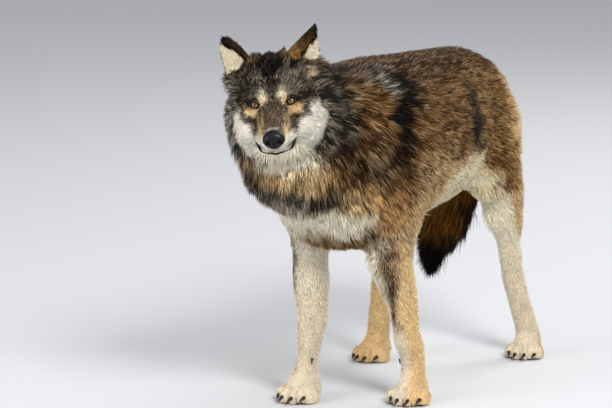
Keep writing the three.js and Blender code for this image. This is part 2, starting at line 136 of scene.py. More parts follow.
def head_frame():
    """The point between the eyes, and the head's axes as columns: left, back and up."""
    left, right = middle("eye_left"), middle("eye_right")
    across = unit(left - right)
    between = (left + right) / 2
    to_nose = middle("nose") - between
    to_nose = unit(to_nose - across * (to_nose @ across))
    above = np.cross(across, -to_nose)
    looks = to_nose * math.cos(NOSE_DROP) + above * math.sin(NOSE_DROP)
    return between, np.stack([across, -looks, np.cross(across, -looks)], axis=1)


HOME = np.mean([SOLES["fore_left"], SOLES["fore_right"]], axis=0)
BETWEEN_EYES, HEAD_AXES = head_frame()


def on_body(points):
    """Millimetres from HOME."""
    return (points - HOME) / MM


def on_head(points):
    """Millimetres in the head's frame."""
    return (points - BETWEEN_EYES) @ HEAD_AXES / MM


def from_head(places):
    """Points in the model's frame from millimetres in the head's frame."""
    return BETWEEN_EYES + np.asarray(places, float) * MM @ HEAD_AXES.T


# ---- The coat's chart ----
# Each row: a place, the way its hair lies, the coat's depth, the hair's length, and how far the row reaches.
# Rows more than 40 left of the body's middle, and all rows off the head's, count for both sides.
BODY_CHART = [
    ((0, 20, 735), (0, 1, -0.15), 15, 38, 70),  # withers
    ((0, 180, 742), (0, 1, -0.1), 13.2, 34, 80),  # back
    ((0, 350, 732), (0, 1, -0.1), 12.3, 31, 80),
    ((-18, 520, 722), (0, 1, -0.2), 12.3, 30, 70),  # croup
    ((-18, 640, 650), (0, 0.7, -0.8), 12.3, 30, 60),  # tail root
    ((-18, 660, 540), (0, 0.3, -1), 11.4, 28, 60),  # rump
    ((130, -20, 640), (0.05, 0.85, -0.5), 15.8, 36, 70),  # shoulder
    ((140, 40, 520), (0, 0.8, -0.6), 13.2, 31, 70),
    ((110, 10, 420), (0, 0.5, -0.9), 10.6, 25, 60),  # upper arm
    ((150, 150, 600), (0, 1, -0.3), 12.3, 30, 80),  # ribs
    ((150, 200, 480), (0, 1, -0.4), 12.3, 30, 80),
    ((140, 330, 600), (0, 1, -0.26), 12.3, 30, 80),  # flank
    ((130, 350, 480), (0, 1, -0.4), 11.4, 30, 80),
    ((80, 180, 370), (0, 0.8, -0.55), 11.4, 38, 80),  # belly
    ((0, 200, 340), (0, 0.9, -0.4), 10.6, 36, 80),
    ((0, 380, 390), (0, 0.85, -0.5), 9.7, 36, 80),
    ((85, 450, 420), (0, 0.65, -0.8), 7.9, 32, 60),  # groin
    ((120, 520, 600), (0, 1, -0.35), 11.4, 28, 80),  # hip
    ((115, 580, 490), (0, 0.8, -0.55), 10.6, 25, 70),  # thigh
    ((100, 500, 430), (0, 0.55, -0.85), 8.8, 22, 60),
    ((-44, -250, 750), (0, 1, 0), 17.6, 37, 60),  # nape
    ((-30, -140, 745), (0, 1, -0.1), 19.4, 44, 70),
    ((90, -170, 690), (0.2, 0.9, -0.5), 21.1, 46, 70),  # sides of the neck
    ((-130, -200, 660), (-0.1, 0.9, -0.5), 28.2, 44, 70),
    ((110, -130, 590), (0.2, 0.55, -0.8), 21.1, 46, 70),
    ((-150, -160, 570), (-0.15, 0.55, -0.8), 25.5, 46, 70),
    ((70, -200, 510), (0.1, 0.3, -1), 20.2, 44, 60),
    ((-30, -290, 540), (0, 0.2, -1), 19.4, 44, 60),  # throat
    ((-120, -210, 500), (-0.1, 0.3, -1), 20.2, 44, 60),
    ((-20, -200, 440), (0, 0.35, -1), 17.6, 40, 60),  # breast
    ((80, -120, 430), (0.1, 0.5, -0.9), 15.8, 36, 60),
    ((0, -90, 360), (0, 0.8, -0.6), 12.3, 31, 60),
    ((0, 30, 345), (0, 1, -0.3), 11.4, 30, 60),  # between the forelegs
]
HEAD_CHART = [
    ((0, -98, -30), (0, 1, 0.15), 1.5, 5, 12),  # behind the nose
    ((0, -70, -12), (0, 1, 0.3), 2, 7, 16),  # bridge
    ((0, -35, -2), (0, 1, 0.3), 2.5, 8, 18),
    ((24, -88, -48), (0.2, 1, -0.1), 2, 7, 14),  # upper lip
    ((32, -60, -45), (0.25, 1, -0.15), 2.5, 9, 18),
    ((28, -80, -68), (0.2, 1, -0.35), 2.5, 9, 14),
    ((44, -40, -64), (0.3, 1, -0.4), 3.5, 13, 18),
    ((0, -84, -86), (0, 1, -0.3), 3.5, 13, 16),  # chin
    ((0, -50, -94), (0, 1, -0.35), 5, 20, 20),
    ((22, -30, -15), (0.2, 1, 0.1), 2.5, 8, 14),  # beside the bridge
    ((0, -8, 14), (0, 1, 0.7), 3, 10, 16),  # stop
    ((26, -4, 20), (0.25, 1, 0.8), 3.5, 12, 14),  # brows
    ((52, 4, 8), (0.8, 1, 0.3), 3, 10, 14),
    ((40, -8, -18), (0.5, 0.9, -0.6), 2.5, 8, 14),  # below the eyes
    ((60, 8, -20), (0.8, 0.8, -0.4), 4, 15, 18),
    ((50, -6, -42), (0.5, 0.9, -0.5), 4, 15, 18),  # cheeks
    ((76, 34, -44), (0.9, 0.7, -0.4), 9, 32, 22),
    ((64, 20, -76), (0.7, 0.6, -0.9), 9, 34, 22),
    ((0, 24, 42), (0, 1, 0.5), 5, 17, 20),  # forehead
    ((36, 30, 38), (0.4, 1, 0.5), 5, 18, 20),
    ((64, 40, 14), (0.8, 1, 0.2), 7, 26, 22),  # temples
    ((0, 66, 68), (0, 0.5, 0.9), 11, 24, 24),  # crown
    ((36, 70, 66), (0.3, 0.5, 0.9), 11, 24, 24),
    ((0, 104, 84), (0, 0.8, 0.6), 14, 32, 26),
    ((98, 116, 58), (0.4, 0.9, -0.35), 12, 22, 26),  # behind the ears
    ((100, 80, 4), (0.5, 0.85, -0.1), 22, 38, 26),  # ruff
    ((112, 92, -40), (0.5, 0.7, -0.5), 24, 43, 30),
    ((92, 84, -100), (0.45, 0.5, -0.9), 22, 45, 30),
    ((44, 60, -128), (0.35, 0.4, -1), 15, 46, 30),
    ((0, 30, -118), (0, 0.5, -1), 11, 38, 26),
]
LEG_CHART = [  # height, lie, depth, length, reach
    (360, (0, 0.3, -1), 8, 25, 50),
    (290, (0, 0.25, -1), 6, 19, 45),
    (220, (0, 0.15, -1), 5, 15, 40),
    (150, (0, 0.05, -1), 4, 14, 35),
    (90, (0, -0.05, -1), 3.5, 12, 30),
    (50, (0, -0.6, -0.8), 3, 10, 20),
    (22, (0, -1, -0.5), 2.5, 8, 22),
]
TAIL_CHART = [  # height, depth, length, reach
    (560, 18, 60, 45),
    (480, 22, 66, 50),
    (390, 24, 70, 50),
    (300, 23, 70, 50),
    (225, 18, 62, 40),
    (170, 11, 44, 26),
]
EAR_SHARES = (0.25, 0.6, 0.95)  # where an ear's rows lie along it
EAR_SIZES = (1.2, 7, 30)  # their depth, length and reach


def level(node, height, band=22):
    """The middle of a node's section at a height, in millimetres from HOME."""
    spots = on_body(corners_of(MESHES[node]))
    near = np.abs(spots[:, 2] - height) < band
    low, high = spots[near].min(0), spots[near].max(0)
    return np.array([(low[0] + high[0]) / 2, (low[1] + high[1]) / 2, height])


def chart_rows():
    """All rows in metres: places, lies, and their depths, lengths and reaches."""
    rows = []
    for place, lie, *sizes in BODY_CHART:
        for side in (1, -1) if place[0] > 40 else (1,):
            turn = np.array([side, 1, 1])
            rows.append((HOME + np.array(place) * turn * MM, np.array(lie) * turn, sizes))
    for place, lie, *sizes in HEAD_CHART:
        for side in (1, -1) if place[0] else (1,):
            turn = np.array([side, 1, 1])
            rows.append((from_head(np.array(place) * turn), HEAD_AXES @ (np.array(lie) * turn), sizes))
    for leg in LEGS:
        for height, lie, *sizes in LEG_CHART:
            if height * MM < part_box(leg)[1][2]:
                rows.append((HOME + level(leg, height) * MM, np.array(lie), sizes))
    spots = [level("tail", row[0]) for row in TAIL_CHART]
    for i, (_, *sizes) in enumerate(TAIL_CHART):
        way = spots[min(i + 1, len(spots) - 1)] - spots[max(i - 1, 0)]
        rows.append((HOME + spots[i] * MM, way, sizes))
    for side in SIDES:
        low, high = ear_line(side)
        rows += [(low + (high - low) * share, high - low, EAR_SIZES) for share in EAR_SHARES]
    places, lies = (np.array([row[i] for row in rows]) for i in (0, 1))
    return places, unit(lies), np.array([row[2] for row in rows]) * MM


def ear_line(side):
    """The foot and the tip of an ear: the middles of its node's lowest 22 mm and of its highest 4."""
    spots = corners_of(MESHES[f"ear_{side}"])
    rise = on_head(spots)[:, 2]
    return spots[rise < rise.min() + 22].mean(0), spots[rise > rise.max() - 4].mean(0)


def coat_at(points, ears):
    """How the coat is at points: its lie, depth and hair length, each the mean of the chart's rows, where a
    row counts by exp(-(distance / reach)^2), and hardly where no row reaches. Ear rows count on the ears
    alone. The depth falls to a fifth towards the ears, whose feet are thin."""
    places, lies, sizes = chart_rows()
    ear_rows = np.arange(len(places)) >= len(places) - 2 * len(EAR_SHARES)
    found, at_once, hardly = [], 20000, 1e-9
    for start in range(0, len(points), at_once):
        part = slice(start, start + at_once)
        away = np.linalg.norm(points[part, None] - places, axis=2)
        counts = bell(away, sizes[:, 2]) + hardly / (1 + (away / sizes[:, 2]) ** 4)
        counts *= np.where(ears[part, None] == ear_rows, 1, hardly)
        counts /= counts.sum(1, keepdims=True)
        found.append(counts @ np.hstack([lies, sizes[:, :2]]))
    found = np.vstack(found)
    beside = np.min([off_ear(points, side) for side in SIDES], axis=0)
    shallow = np.where(ears, 1, 0.2 + 0.8 * ramp(beside, 0.003, 0.026))
    return found[:, :3], found[:, 3] * shallow, found[:, 4]


# Where the skin swells out from the flesh before it is drawn in: middle, reach and
# height, which is below 0 for a hollow. The last value tells whether the row counts for both sides.
SWELLINGS_OF_BODY = [
    ((112, 625, 470), 90, 16, True),  # rump
    ((112, 600, 395), 70, 13, True),
    ((52, -26, 318), 44, 26, False),  # front of the left foreleg
    ((66, -24, 246), 40, 13, False),
    ((-70, -28, 250), 44, 8, False),  # inner side of the right foreleg
    ((-74, -30, 180), 44, 12, False),
    ((-130, -58, 110), 36, -9, False),  # outer side of the right foreleg
    ((-130, -58, 180), 40, -8, False),
    ((-140, -200, 640), 70, -8, False),  # right side of the neck
    ((70, 80, 350), 75, -20, True),  # belly
    ((70, 220, 380), 90, -24, True),
]
SWELLINGS_OF_HEAD = [
    ((0, 84, 84), 42, 8, True),  # crown
    ((40, 90, 84), 24, 4, False),
    ((106, 120, 62), 32, -12, False),  # behind the left ear
    ((-118, 80, -10), 55, -11, False),  # right side of the ruff
    ((-112, 90, 26), 36, -9, False),
    ((-116, 84, -92), 36, -12, False),
    ((-84, 64, -134), 36, 13, False),
]


def wrists(points):
    """1 round the wrists of the forelegs, falling off as a bell curve."""
    places = on_body(points)
    return bell(places[:, 2] - 128, 22) * (places[:, 1] < 150)


def leg_joins(points):
    """1 at the height where each leg's node meets the trunk, falling off as a bell curve."""
    places = on_body(points)
    fore = places[:, 1] < 200
    top = np.where(fore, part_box("leg_fore_left")[1][2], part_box("leg_hind_left")[1][2]) / MM
    return bell(places[:, 2] - top, np.where(fore, 26, 34)) * (np.abs(places[:, 0]) > 20)


def swelling(points):
    """How far each point swells out: a bell curve round each row's middle, and 4 mm at the wrists."""
    total = 4 * MM * wrists(points)
    for rows, places in ((SWELLINGS_OF_BODY, on_body(points)), (SWELLINGS_OF_HEAD, on_head(points))):
        mirrored = np.column_stack([np.abs(places[:, 0]), places[:, 1:]])
        for middle_of_row, reach, height, both in rows:
            seen = mirrored if both else places
            total += height * MM * bell(np.linalg.norm(seen - middle_of_row, axis=1), reach)
    return total


def tail_lifted(points):
    """The tail's end drawn up: below 290 its height above the tip's falls to 0.55 of itself."""
    places = on_body(points)
    on_tail = (places[:, 1] > 540) & (places[:, 0] < 30)
    below = np.clip(290 - places[:, 2], 0, None) * on_tail
    return points + np.array([0, 0, MM]) * (0.45 * below)[:, None]


def toes_parted(points, normals):
    """Grooves 5 mm deep between the toes: bell curves across lines that run from each sole between two
    claws. They start 14 to 40 mm ahead of the sole's middle and end 26 to 42 mm above the floor."""
    depth = np.zeros(len(points))
    for foot, sole in SOLES.items():
        sole = sole[:2] / MM
        claws = [middle(f"claw_{foot}_{i}")[:2] / MM for i in (1, 2, 3, 4)]
        flat = points[:, :2] / MM - sole
        for one, other in zip(claws, claws[1:]):
            way = unit((one + other) / 2 - sole)
            ahead, across = flat @ way, flat @ [-way[1], way[0]]
            depth += 5 * bell(across, 2.8) * ramp(ahead, 14, 40) * (np.abs(ahead) < 110)
    depth *= 1 - ramp(points[:, 2] / MM, 26, 42)
    return points - normals * (depth * MM)[:, None]


# ---- Meshes and arrays ----
def corners_of(mesh):
    """A mesh's vertices as rows."""
    spots = np.empty(len(mesh.vertices) * 3, np.float32)
    mesh.vertices.foreach_get("co", spots)
    return spots.reshape(-1, 3).astype(float)


def triangles_of(mesh):
    """A mesh's triangles as rows of vertex numbers."""
    mesh.calc_loop_triangles()
    faces = np.empty(len(mesh.loop_triangles) * 3, np.int32)
    mesh.loop_triangles.foreach_get("vertices", faces)
    return faces.reshape(-1, 3)


def edges_of(triangles):
    """The edges of a closed mesh, each once."""
    pairs = np.vstack([triangles[:, [0, 1]], triangles[:, [1, 2]], triangles[:, [2, 0]]])
    return pairs[pairs[:, 0] < pairs[:, 1]]


def mesh_from(name, points, faces):
    """A smooth-shaded mesh from rows of points and of triangles or quads."""
    mesh = bpy.data.meshes.new(name)
    sides = faces.shape[1]
    mesh.vertices.add(len(points))
    mesh.vertices.foreach_set("co", np.asarray(points, np.float32).ravel())
    mesh.loops.add(faces.size)
    mesh.loops.foreach_set("vertex_index", faces.astype(np.int32).ravel())
    mesh.polygons.add(len(faces))
    mesh.polygons.foreach_set("loop_start", np.arange(0, faces.size, sides, dtype=np.int32))
    mesh.update(calc_edges=True)
    mesh.validate()
    mesh.shade_smooth()
    return mesh


def normals_of(points, triangles):
    """Each vertex's normal: the sum of its triangles' cross products."""
    a, b, c = (points[triangles[:, i]] for i in range(3))
    cross = np.cross(b - a, c - a)
    total = np.empty_like(points)
    for axis in range(3):
        total[:, axis] = sum(
            np.bincount(triangles[:, i], cross[:, axis], len(points)) for i in range(3)
        )
    return unit(total)


def relaxed(points, edges, share, rounds):
    """Each point moves a share of the way to the middle of its neighbours, in rounds."""
    count = np.bincount(edges.ravel(), minlength=len(points))[:, None]
    share = np.asarray(share).reshape(-1, 1) if np.ndim(share) else share
    for _ in range(rounds):
        total = np.empty_like(points)
        for axis in range(3):
            values = points[:, axis]
            total[:, axis] = np.bincount(edges[:, 0], values[edges[:, 1]], len(points))
            total[:, axis] += np.bincount(edges[:, 1], values[edges[:, 0]], len(points))
        points = points + share * (total / count - points)
    return points


def smoothed(points, edges, share, rounds):
    """Relaxed, with every second round the other way, so that bumps go and thin parts keep their size."""
    for _ in range(rounds):
        points = relaxed(points, edges, share, 1)
        points = relaxed(points, edges, -1.02 * share, 1)
    return points


def linked(name, data):
    """A new object in the scene."""
    made = bpy.data.objects.new(name, data)
    bpy.context.scene.collection.objects.link(made)
    return made


def painted_mesh(name, points, faces, colours):
    """A mesh with a colour for each point, which the coat's materials read."""
    mesh = mesh_from(name, points, faces)
    rows = np.hstack([np.clip(colours, 0.002, 1), np.ones((len(colours), 1))])
    layer = mesh.attributes.new("Coat", "FLOAT_COLOR", "POINT")
    layer.data.foreach_set("color", rows.astype(np.float32).ravel())
    return mesh


def add_map(mesh, name, places):
    """A UV map from a place for each corner of each face."""
    layer = mesh.uv_layers.new(name=name)
    layer.data.foreach_set("uv", places.astype(np.float32).ravel())


def after(mesh, kind, kept=None, **settings):
    """The mesh as one modifier leaves it. kept are the vertices that it leaves alone."""
    holder = linked("Holder", mesh)
    modifier = holder.modifiers.new("Step", kind)
    for name, value in settings.items():
        setattr(modifier, name, value)
    if kept is not None:
        group = holder.vertex_groups.new(name="Spare")
        group.add(np.flatnonzero(~kept).tolist(), 1.0, "REPLACE")
        modifier.vertex_group = group.name
    made = bpy.data.meshes.new_from_object(holder.evaluated_get(bpy.context.evaluated_depsgraph_get()))
    bpy.data.objects.remove(holder)
    return made


# How a triangle a, b, c is cut, by how many of its sides are halved: 3, 4 and 5 stand for the middles of
# a-b, b-c and c-a. With one middle it is on a-b, and with two they are on a-b and b-c.
CUTS = {
    0: [[0, 1, 2]],
    1: [[0, 3, 2], [3, 1, 2]],
    2: [[3, 1, 4], [0, 3, 4], [0, 4, 2]],
    3: [[0, 3, 5], [3, 1, 4], [5, 4, 2], [3, 4, 5]],
}


def halved(mesh, away, reach, longest):
    """The mesh with its edges halved where they are too long and away gives less than reach for their
    middles, all in millimetres."""
    points, triangles = corners_of(mesh), triangles_of(mesh)
    sides = np.sort(np.stack([triangles, np.roll(triangles, -1, axis=1)], axis=2), axis=2)
    keys = sides[:, :, 0].astype(np.int64) * len(points) + sides[:, :, 1]
    keys, edge_of_side = np.unique(keys.ravel(), return_inverse=True)
    ends = points[np.stack([keys // len(points), keys % len(points)], axis=1)]
    middles = ends.mean(1)
    picked = (away(middles) < reach) & (np.linalg.norm(ends[:, 0] - ends[:, 1], axis=1) > longest * MM)
    number = np.where(picked, len(points) + np.cumsum(picked) - 1, -1)
    between = number[edge_of_side].reshape(-1, 3)
    count = (between >= 0).sum(1)
    first = np.where(count == 1, between.argmax(1), 0)
    first = np.where(count == 2, (between.argmin(1) + 1) % 3, first)
    order = (first[:, None] + np.arange(3)) % 3
    corners = np.hstack([np.take_along_axis(values, order, axis=1) for values in (triangles, between)])
    made = [corners[count == split][:, cut].reshape(-1, 3) for split, cut in CUTS.items()]
    return mesh_from("Halved", np.vstack([points, middles[picked]]), np.vstack(made))


def from_eyes(points):
    """Distances from the nearer eye."""
    places = on_head(points)
    away = [np.linalg.norm(places - eye_middle(side) - [0, -6, 0], axis=1) for side in SIDES]
    return np.min(away, axis=0)


def from_toes(points):
    """Distances from the nearest foot's toes, far above them."""
    places = on_body(points)
    away = [np.linalg.norm(places - on_body(sole) - [0, -40, 0], axis=1) for sole in SOLES.values()]
    return np.where(places[:, 2] < 42, np.min(away, axis=0), FAR)


# The steps in which the skin is made finer: where, within what reach, and the longest edge that stays.
FINER = (
    (from_eyes, 60, 2.6), (from_eyes, 26, 1.3), (from_eyes, 20, 0.8),
    (from_toes, 52, 5), (from_toes, 52, 2.5),
)
# Boxes on the head, as two corners: kept fine by the thinning, smoothed less, and formed as a face.
HEAD_BOX = ((-130, -np.inf, -120), (130, 150, np.inf))
FINE_BOX = ((-90, -np.inf, -110), (90, 40, np.inf))
FACE_BOX = ((-90, -np.inf, -120), (90, 45, 80))
FLESH_ROUNDS, JOIN_ROUNDS = 24, 70  # of smoothing the flesh, and the places where legs join the trunk
DEPTH_STEPS = 5  # in which the skin is drawn in


def whole_flesh(size):
    """The flesh, eyes and nose as one closed surface of voxels of that size, thinned elsewhere than on the
    face, crown and ears. Of all faces 0.15 stay, and half the share that isn't thinned."""
    form = bmesh.new()
    for name in (*FLESH, "eye_left", "eye_right", "nose"):
        copy = MESHES[name].copy()
        if name.startswith("ear"):
            copy.vertices.foreach_set("co", ear_spots(name[4:]).astype(np.float32).ravel())
        form.from_mesh(copy)
    bmesh.ops.remove_doubles(form, verts=form.verts, dist=1e-6)
    mesh = bpy.data.meshes.new("Flesh")
    form.to_mesh(mesh)
    form.free()
    mesh = after(mesh, "REMESH", mode="VOXEL", voxel_size=size)
    head = on_head(corners_of(mesh))
    kept = within(head, *HEAD_BOX) & ((head[:, 1] < 45) | (head[:, 2] > 55))
    ratio = 0.15 + 0.5 * kept.mean()
    return after(mesh, "DECIMATE", kept=kept, ratio=ratio, use_collapse_triangulate=True)


def drawn_in(mesh):
    """The flesh smoothed, swollen where the charts say so, and drawn in by the coat's depth in steps. Face,
    ears and toes are smoothed less. The depth falls to nothing towards the soles."""
    points, triangles = corners_of(mesh), triangles_of(mesh)
    edges, ears = edges_of(triangles), ear_mask(points)
    fine = ears | within(on_head(points), *FINE_BOX) | (points[:, 2] < 0.045)
    points = smoothed(points, edges, np.where(fine, 0.3, 0.6), FLESH_ROUNDS)
    points = relaxed(points, edges, 0.6 * leg_joins(points), JOIN_ROUNDS)
    points = points + normals_of(points, triangles) * (swelling(points) * ~ears)[:, None]
    points = tail_lifted(points)
    _, depth, _ = coat_at(points, ears)
    depth *= ramp(points[:, 2], 0.001, 0.018)
    for _ in range(DEPTH_STEPS):
        points = points - normals_of(points, triangles) * depth[:, None] / DEPTH_STEPS
        points = smoothed(points, edges, np.where(fine, 0.2, 0.5), 2)
    points[:, 2] = np.maximum(points[:, 2], 0)
    return mesh_from("Skin", points, triangles)


def ear_mask(points):
    """True on the ears."""
    return np.any([along_ear(points, side)[1] > 0.5 for side in SIDES], axis=0)


# ---- The face ----
LID_TILT = math.radians(17)  # the eyes' outer corners are raised
EYE_TURN = math.radians(8)  # the lids open outwards
EYE_LIFT = math.radians(12)  # and upwards
GAZE = (0.03, -0.965, 0.26)  # where both eyes look, in the head's frame
EYE_HALF_WIDTH = 10.2
UPPER_LID = 5.2
LOWER_LID = 4.5
LID_THICKNESS = 1.3
LID_BLEND = 4.0  # over this distance the face's skin runs into the lids
LID_REACH = 34  # from the eyeball's middle, within which the skin is formed as lids
BEHIND_EYE = 1.6  # how far the skin lies under the eyeball's surface in the opening
NOSE_SEAT = (0, -106, -48)
NOSE_MIDDLE = (0, -104, -48)


def eye_middle(side):
    """The middle of an eyeball in the head's frame."""
    return np.array([SIDES[side] * EYE_MIDDLE, 0, 0])


def eye_axes(side):
    """An eye's own axes in the head's frame, as columns: outwards along the lids, up, and ahead."""
    s = SIDES[side]
    flat = np.array([s * math.sin(EYE_TURN), -math.cos(EYE_TURN), 0])
    looks = flat * math.cos(EYE_LIFT) + np.array([0, 0, math.sin(EYE_LIFT)])
    level_out = unit(np.cross(looks, [0, 0, 1])) * -s
    up = np.cross(level_out, looks) * s
    up = up if up[2] > 0 else -up
    out = level_out * math.cos(LID_TILT) + up * math.sin(LID_TILT)
    return np.stack([out, up * math.cos(LID_TILT) - level_out * math.sin(LID_TILT), looks], axis=1)


def lid_edges(across):
    """Heights of the upper and the lower lid's edge, where across is the share of the half width."""
    open_share = np.clip(1 - np.abs(across) ** 2.2, 0, 1)
    return UPPER_LID * open_share**0.75, -LOWER_LID * open_share**0.8


def beyond_lids(places, side):
    """How far a place lies outside the eye's opening, seen from the eyeball's middle, and its distance."""
    offset = places - eye_middle(side)
    away = np.linalg.norm(offset, axis=1)
    u, v, ahead = (offset @ eye_axes(side) / away[:, None]).T
    across, rise = u * EYE_RADIUS, v * EYE_RADIUS
    upper, lower = lid_edges(across / EYE_HALF_WIDTH)
    outside = np.maximum(np.maximum(rise - upper, lower - rise), np.abs(across) - EYE_HALF_WIDTH)
    return np.where(ahead > 0.05, outside, FAR), away


def mouth_height(back):
    """Height of the mouth line at a distance behind the eyes' plane, which is negative on the muzzle."""
    return -81 + 19 * ramp(back, -68, -34)


def face_formed(places, outwards):
    """The face's skin with lids round the eyeballs, a mouth line, a furrow on the brow and a seat for the
    nose pad. Lids: the skin is kept outside a sphere a lid's thickness larger than the eyeball, with a rim
    0.7 high, and behind the eyeball within the opening. Lines are grooves with a bell curve's section."""
    places = places.copy()
    x, y, z = places.T
    groove = 2.4 * bell(z - mouth_height(y), 2.0) * ramp(y, -112, -104) * (1 - ramp(y, -32, -24))
    groove *= ramp(np.abs(outwards[:, 0]) - outwards[:, 1], 0.1, 0.4)
    furrow = 1.6 * bell(x, 5) * bell(y - 22, 24) * ramp(z, 5, 20)
    places -= outwards * (groove + furrow)[:, None]
    seat = np.linalg.norm((places - NOSE_SEAT) / [20, 14, 16], axis=1)
    places[:, 1] += 10 * (1 - ramp(seat, 0.75, 1.15))
    lid = EYE_RADIUS + LID_THICKNESS
    for side in SIDES:
        outside, away = beyond_lids(places, side)
        near = (away < LID_REACH) & (outside < FAR) & ((away < 22) | (outside > 2))
        gap = np.maximum(LID_BLEND - np.abs(away - lid), 0) / LID_BLEND
        shell = np.maximum(away, lid) + gap * gap * LID_BLEND / 4
        shell += 0.7 * bell(outside - 1.2, 1.2)
        hidden = np.minimum(away, EYE_RADIUS - BEHIND_EYE)
        reached = hidden + (shell - hidden) * ramp(outside, -0.35, 0.35)
        moved = eye_middle(side) + unit(places - eye_middle(side)) * reached[:, None]
        places = np.where(near[:, None], moved, places)
    return places


# ---- Markings ----
BLACK = paint("14100d")
DARK = paint("261d15")
SABLE = paint("4c3a27")
BROWN = paint("6b5035")
OCHRE = paint("80592c")
FAWN = paint("94703d")
TAN = paint("bd9058")
BUFF = paint("c4a374")
SAND = paint("deb987")
CREAM = paint("ddcfb2")
WHITE = paint("ece5d5")
GREY = paint("8c867b")
GRIZZLE = paint("5d5348")
RUST = paint("70502f")
LEG = paint("ead9bd")
TAIL = paint("845721")
BRIDGE = paint("6c5542")
ORANGE = paint("8f6430")
PALE = paint("fbedd0")
HONEY = paint("ecc592")
IVORY = paint("ffe7ba")

# Soft ovals on the body, from HOME: middle, radii, softness, colour, shares of dark and of pale hairs.
BODY_PATCHES = [
    ((120, 430, 560), (90, 130, 130), 0.5, FAWN, 0.38, 0.2),  # hip and thigh
    # the line before the thigh is dark hair and, in part, painted shade in the fold between flank and thigh
    ((150, 312, 584), (60, 27, 84), 0.95, SABLE, 0.8, 0.08),  # line before the thigh
    ((110, 590, 460), (80, 60, 150), 0.7, TAN, 0.26, 0.4),  # rear edge
    ((138, 625, 520), (64, 60, 170), 0.6, SAND, 0.05, 0.5),
    ((160, 60, 545), (70, 110, 40), 0.8, FAWN, 0.36, 0.24),  # lower flank
    ((160, 90, 500), (70, 100, 40), 0.7, BUFF, 0.3, 0.3),
    ((60, -240, 640), (150, 150, 110), 0.4, BROWN, 0.62, 0.14),  # mane
    ((92, -240, 682), (40, 60, 66), 0.6, SABLE, 0.84, 0.1),
    ((0, -160, 740), (70, 110, 34), 0.5, SABLE, 0.75, 0.14),  # nape
    ((110, -135, 600), (60, 60, 110), 0.5, OCHRE, 0.44, 0.22),  # shoulder
    ((118, -110, 640), (40, 50, 34), 0.8, ORANGE, 0.35, 0.25),
    ((110, -140, 520), (60, 60, 50), 0.6, BROWN, 0.44, 0.36),
    ((106, -140, 452), (60, 60, 36), 0.6, TAN, 0.24, 0.4),  # upper arm
    ((0, -300, 510), (90, 70, 60), 0.5, BUFF, 0.22, 0.3),  # bib
    ((0, -330, 560), (86, 60, 46), 0.5, PALE, 0.03, 0.4),
    ((80, -30, 722), (66, 60, 30), 0.5, GRIZZLE, 0.68, 0.3),  # cape
    ((97, -30, 700), (28, 40, 24), 0.6, GREY, 0.42, 0.55),
    ((104, 18, 706), (34, 28, 34), 0.7, DARK, 0.95, 0.03),  # dark line behind the cape
    ((128, -14, 668), (44, 30, 36), 0.6, DARK, 0.97, 0.01),
    ((130, -58, 634), (42, 26, 34), 0.7, DARK, 0.95, 0.03),
    ((146, -50, 590), (42, 24, 36), 0.7, SABLE, 0.9, 0.05),
    ((150, -62, 545), (40, 22, 36), 0.8, SABLE, 0.8, 0.1),
    ((0, -190, 405), (130, 90, 40), 0.35, PALE, 0.04, 0.4),  # pale chest
]
# On one side only, where x isn't mirrored.
SINGLE_PATCHES = [
    ((-50, -240, 462), (104, 70, 24), 0.8, GREY, 0.3, 0.5),  # lower edge of the mane
    ((84, -220, 452), (40, 70, 30), 0.8, BUFF, 0.22, 0.4),
    ((36, -238, 462), (26, 50, 16), 0.8, DARK, 0.8, 0.1),  # dark tuft at the mane's edge
    ((-40, -250, 468), (56, 50, 16), 0.9, GRIZZLE, 0.5, 0.3),
    ((78, -90, 384), (22, 50, 50), 0.6, BROWN, 0.44, 0.38),  # above the left foreleg
    ((126, -56, 404), (30, 60, 56), 0.7, TAN, 0.14, 0.4),
    ((-118, -120, 402), (50, 80, 44), 0.6, PALE, 0.05, 0.4),  # right of the chest
    ((40, -190, 392), (50, 60, 34), 0.6, PALE, 0.05, 0.4),
    ((-135, -200, 540), (50, 90, 90), 0.6, GRIZZLE, 0.62, 0.3),  # right side of the neck
]
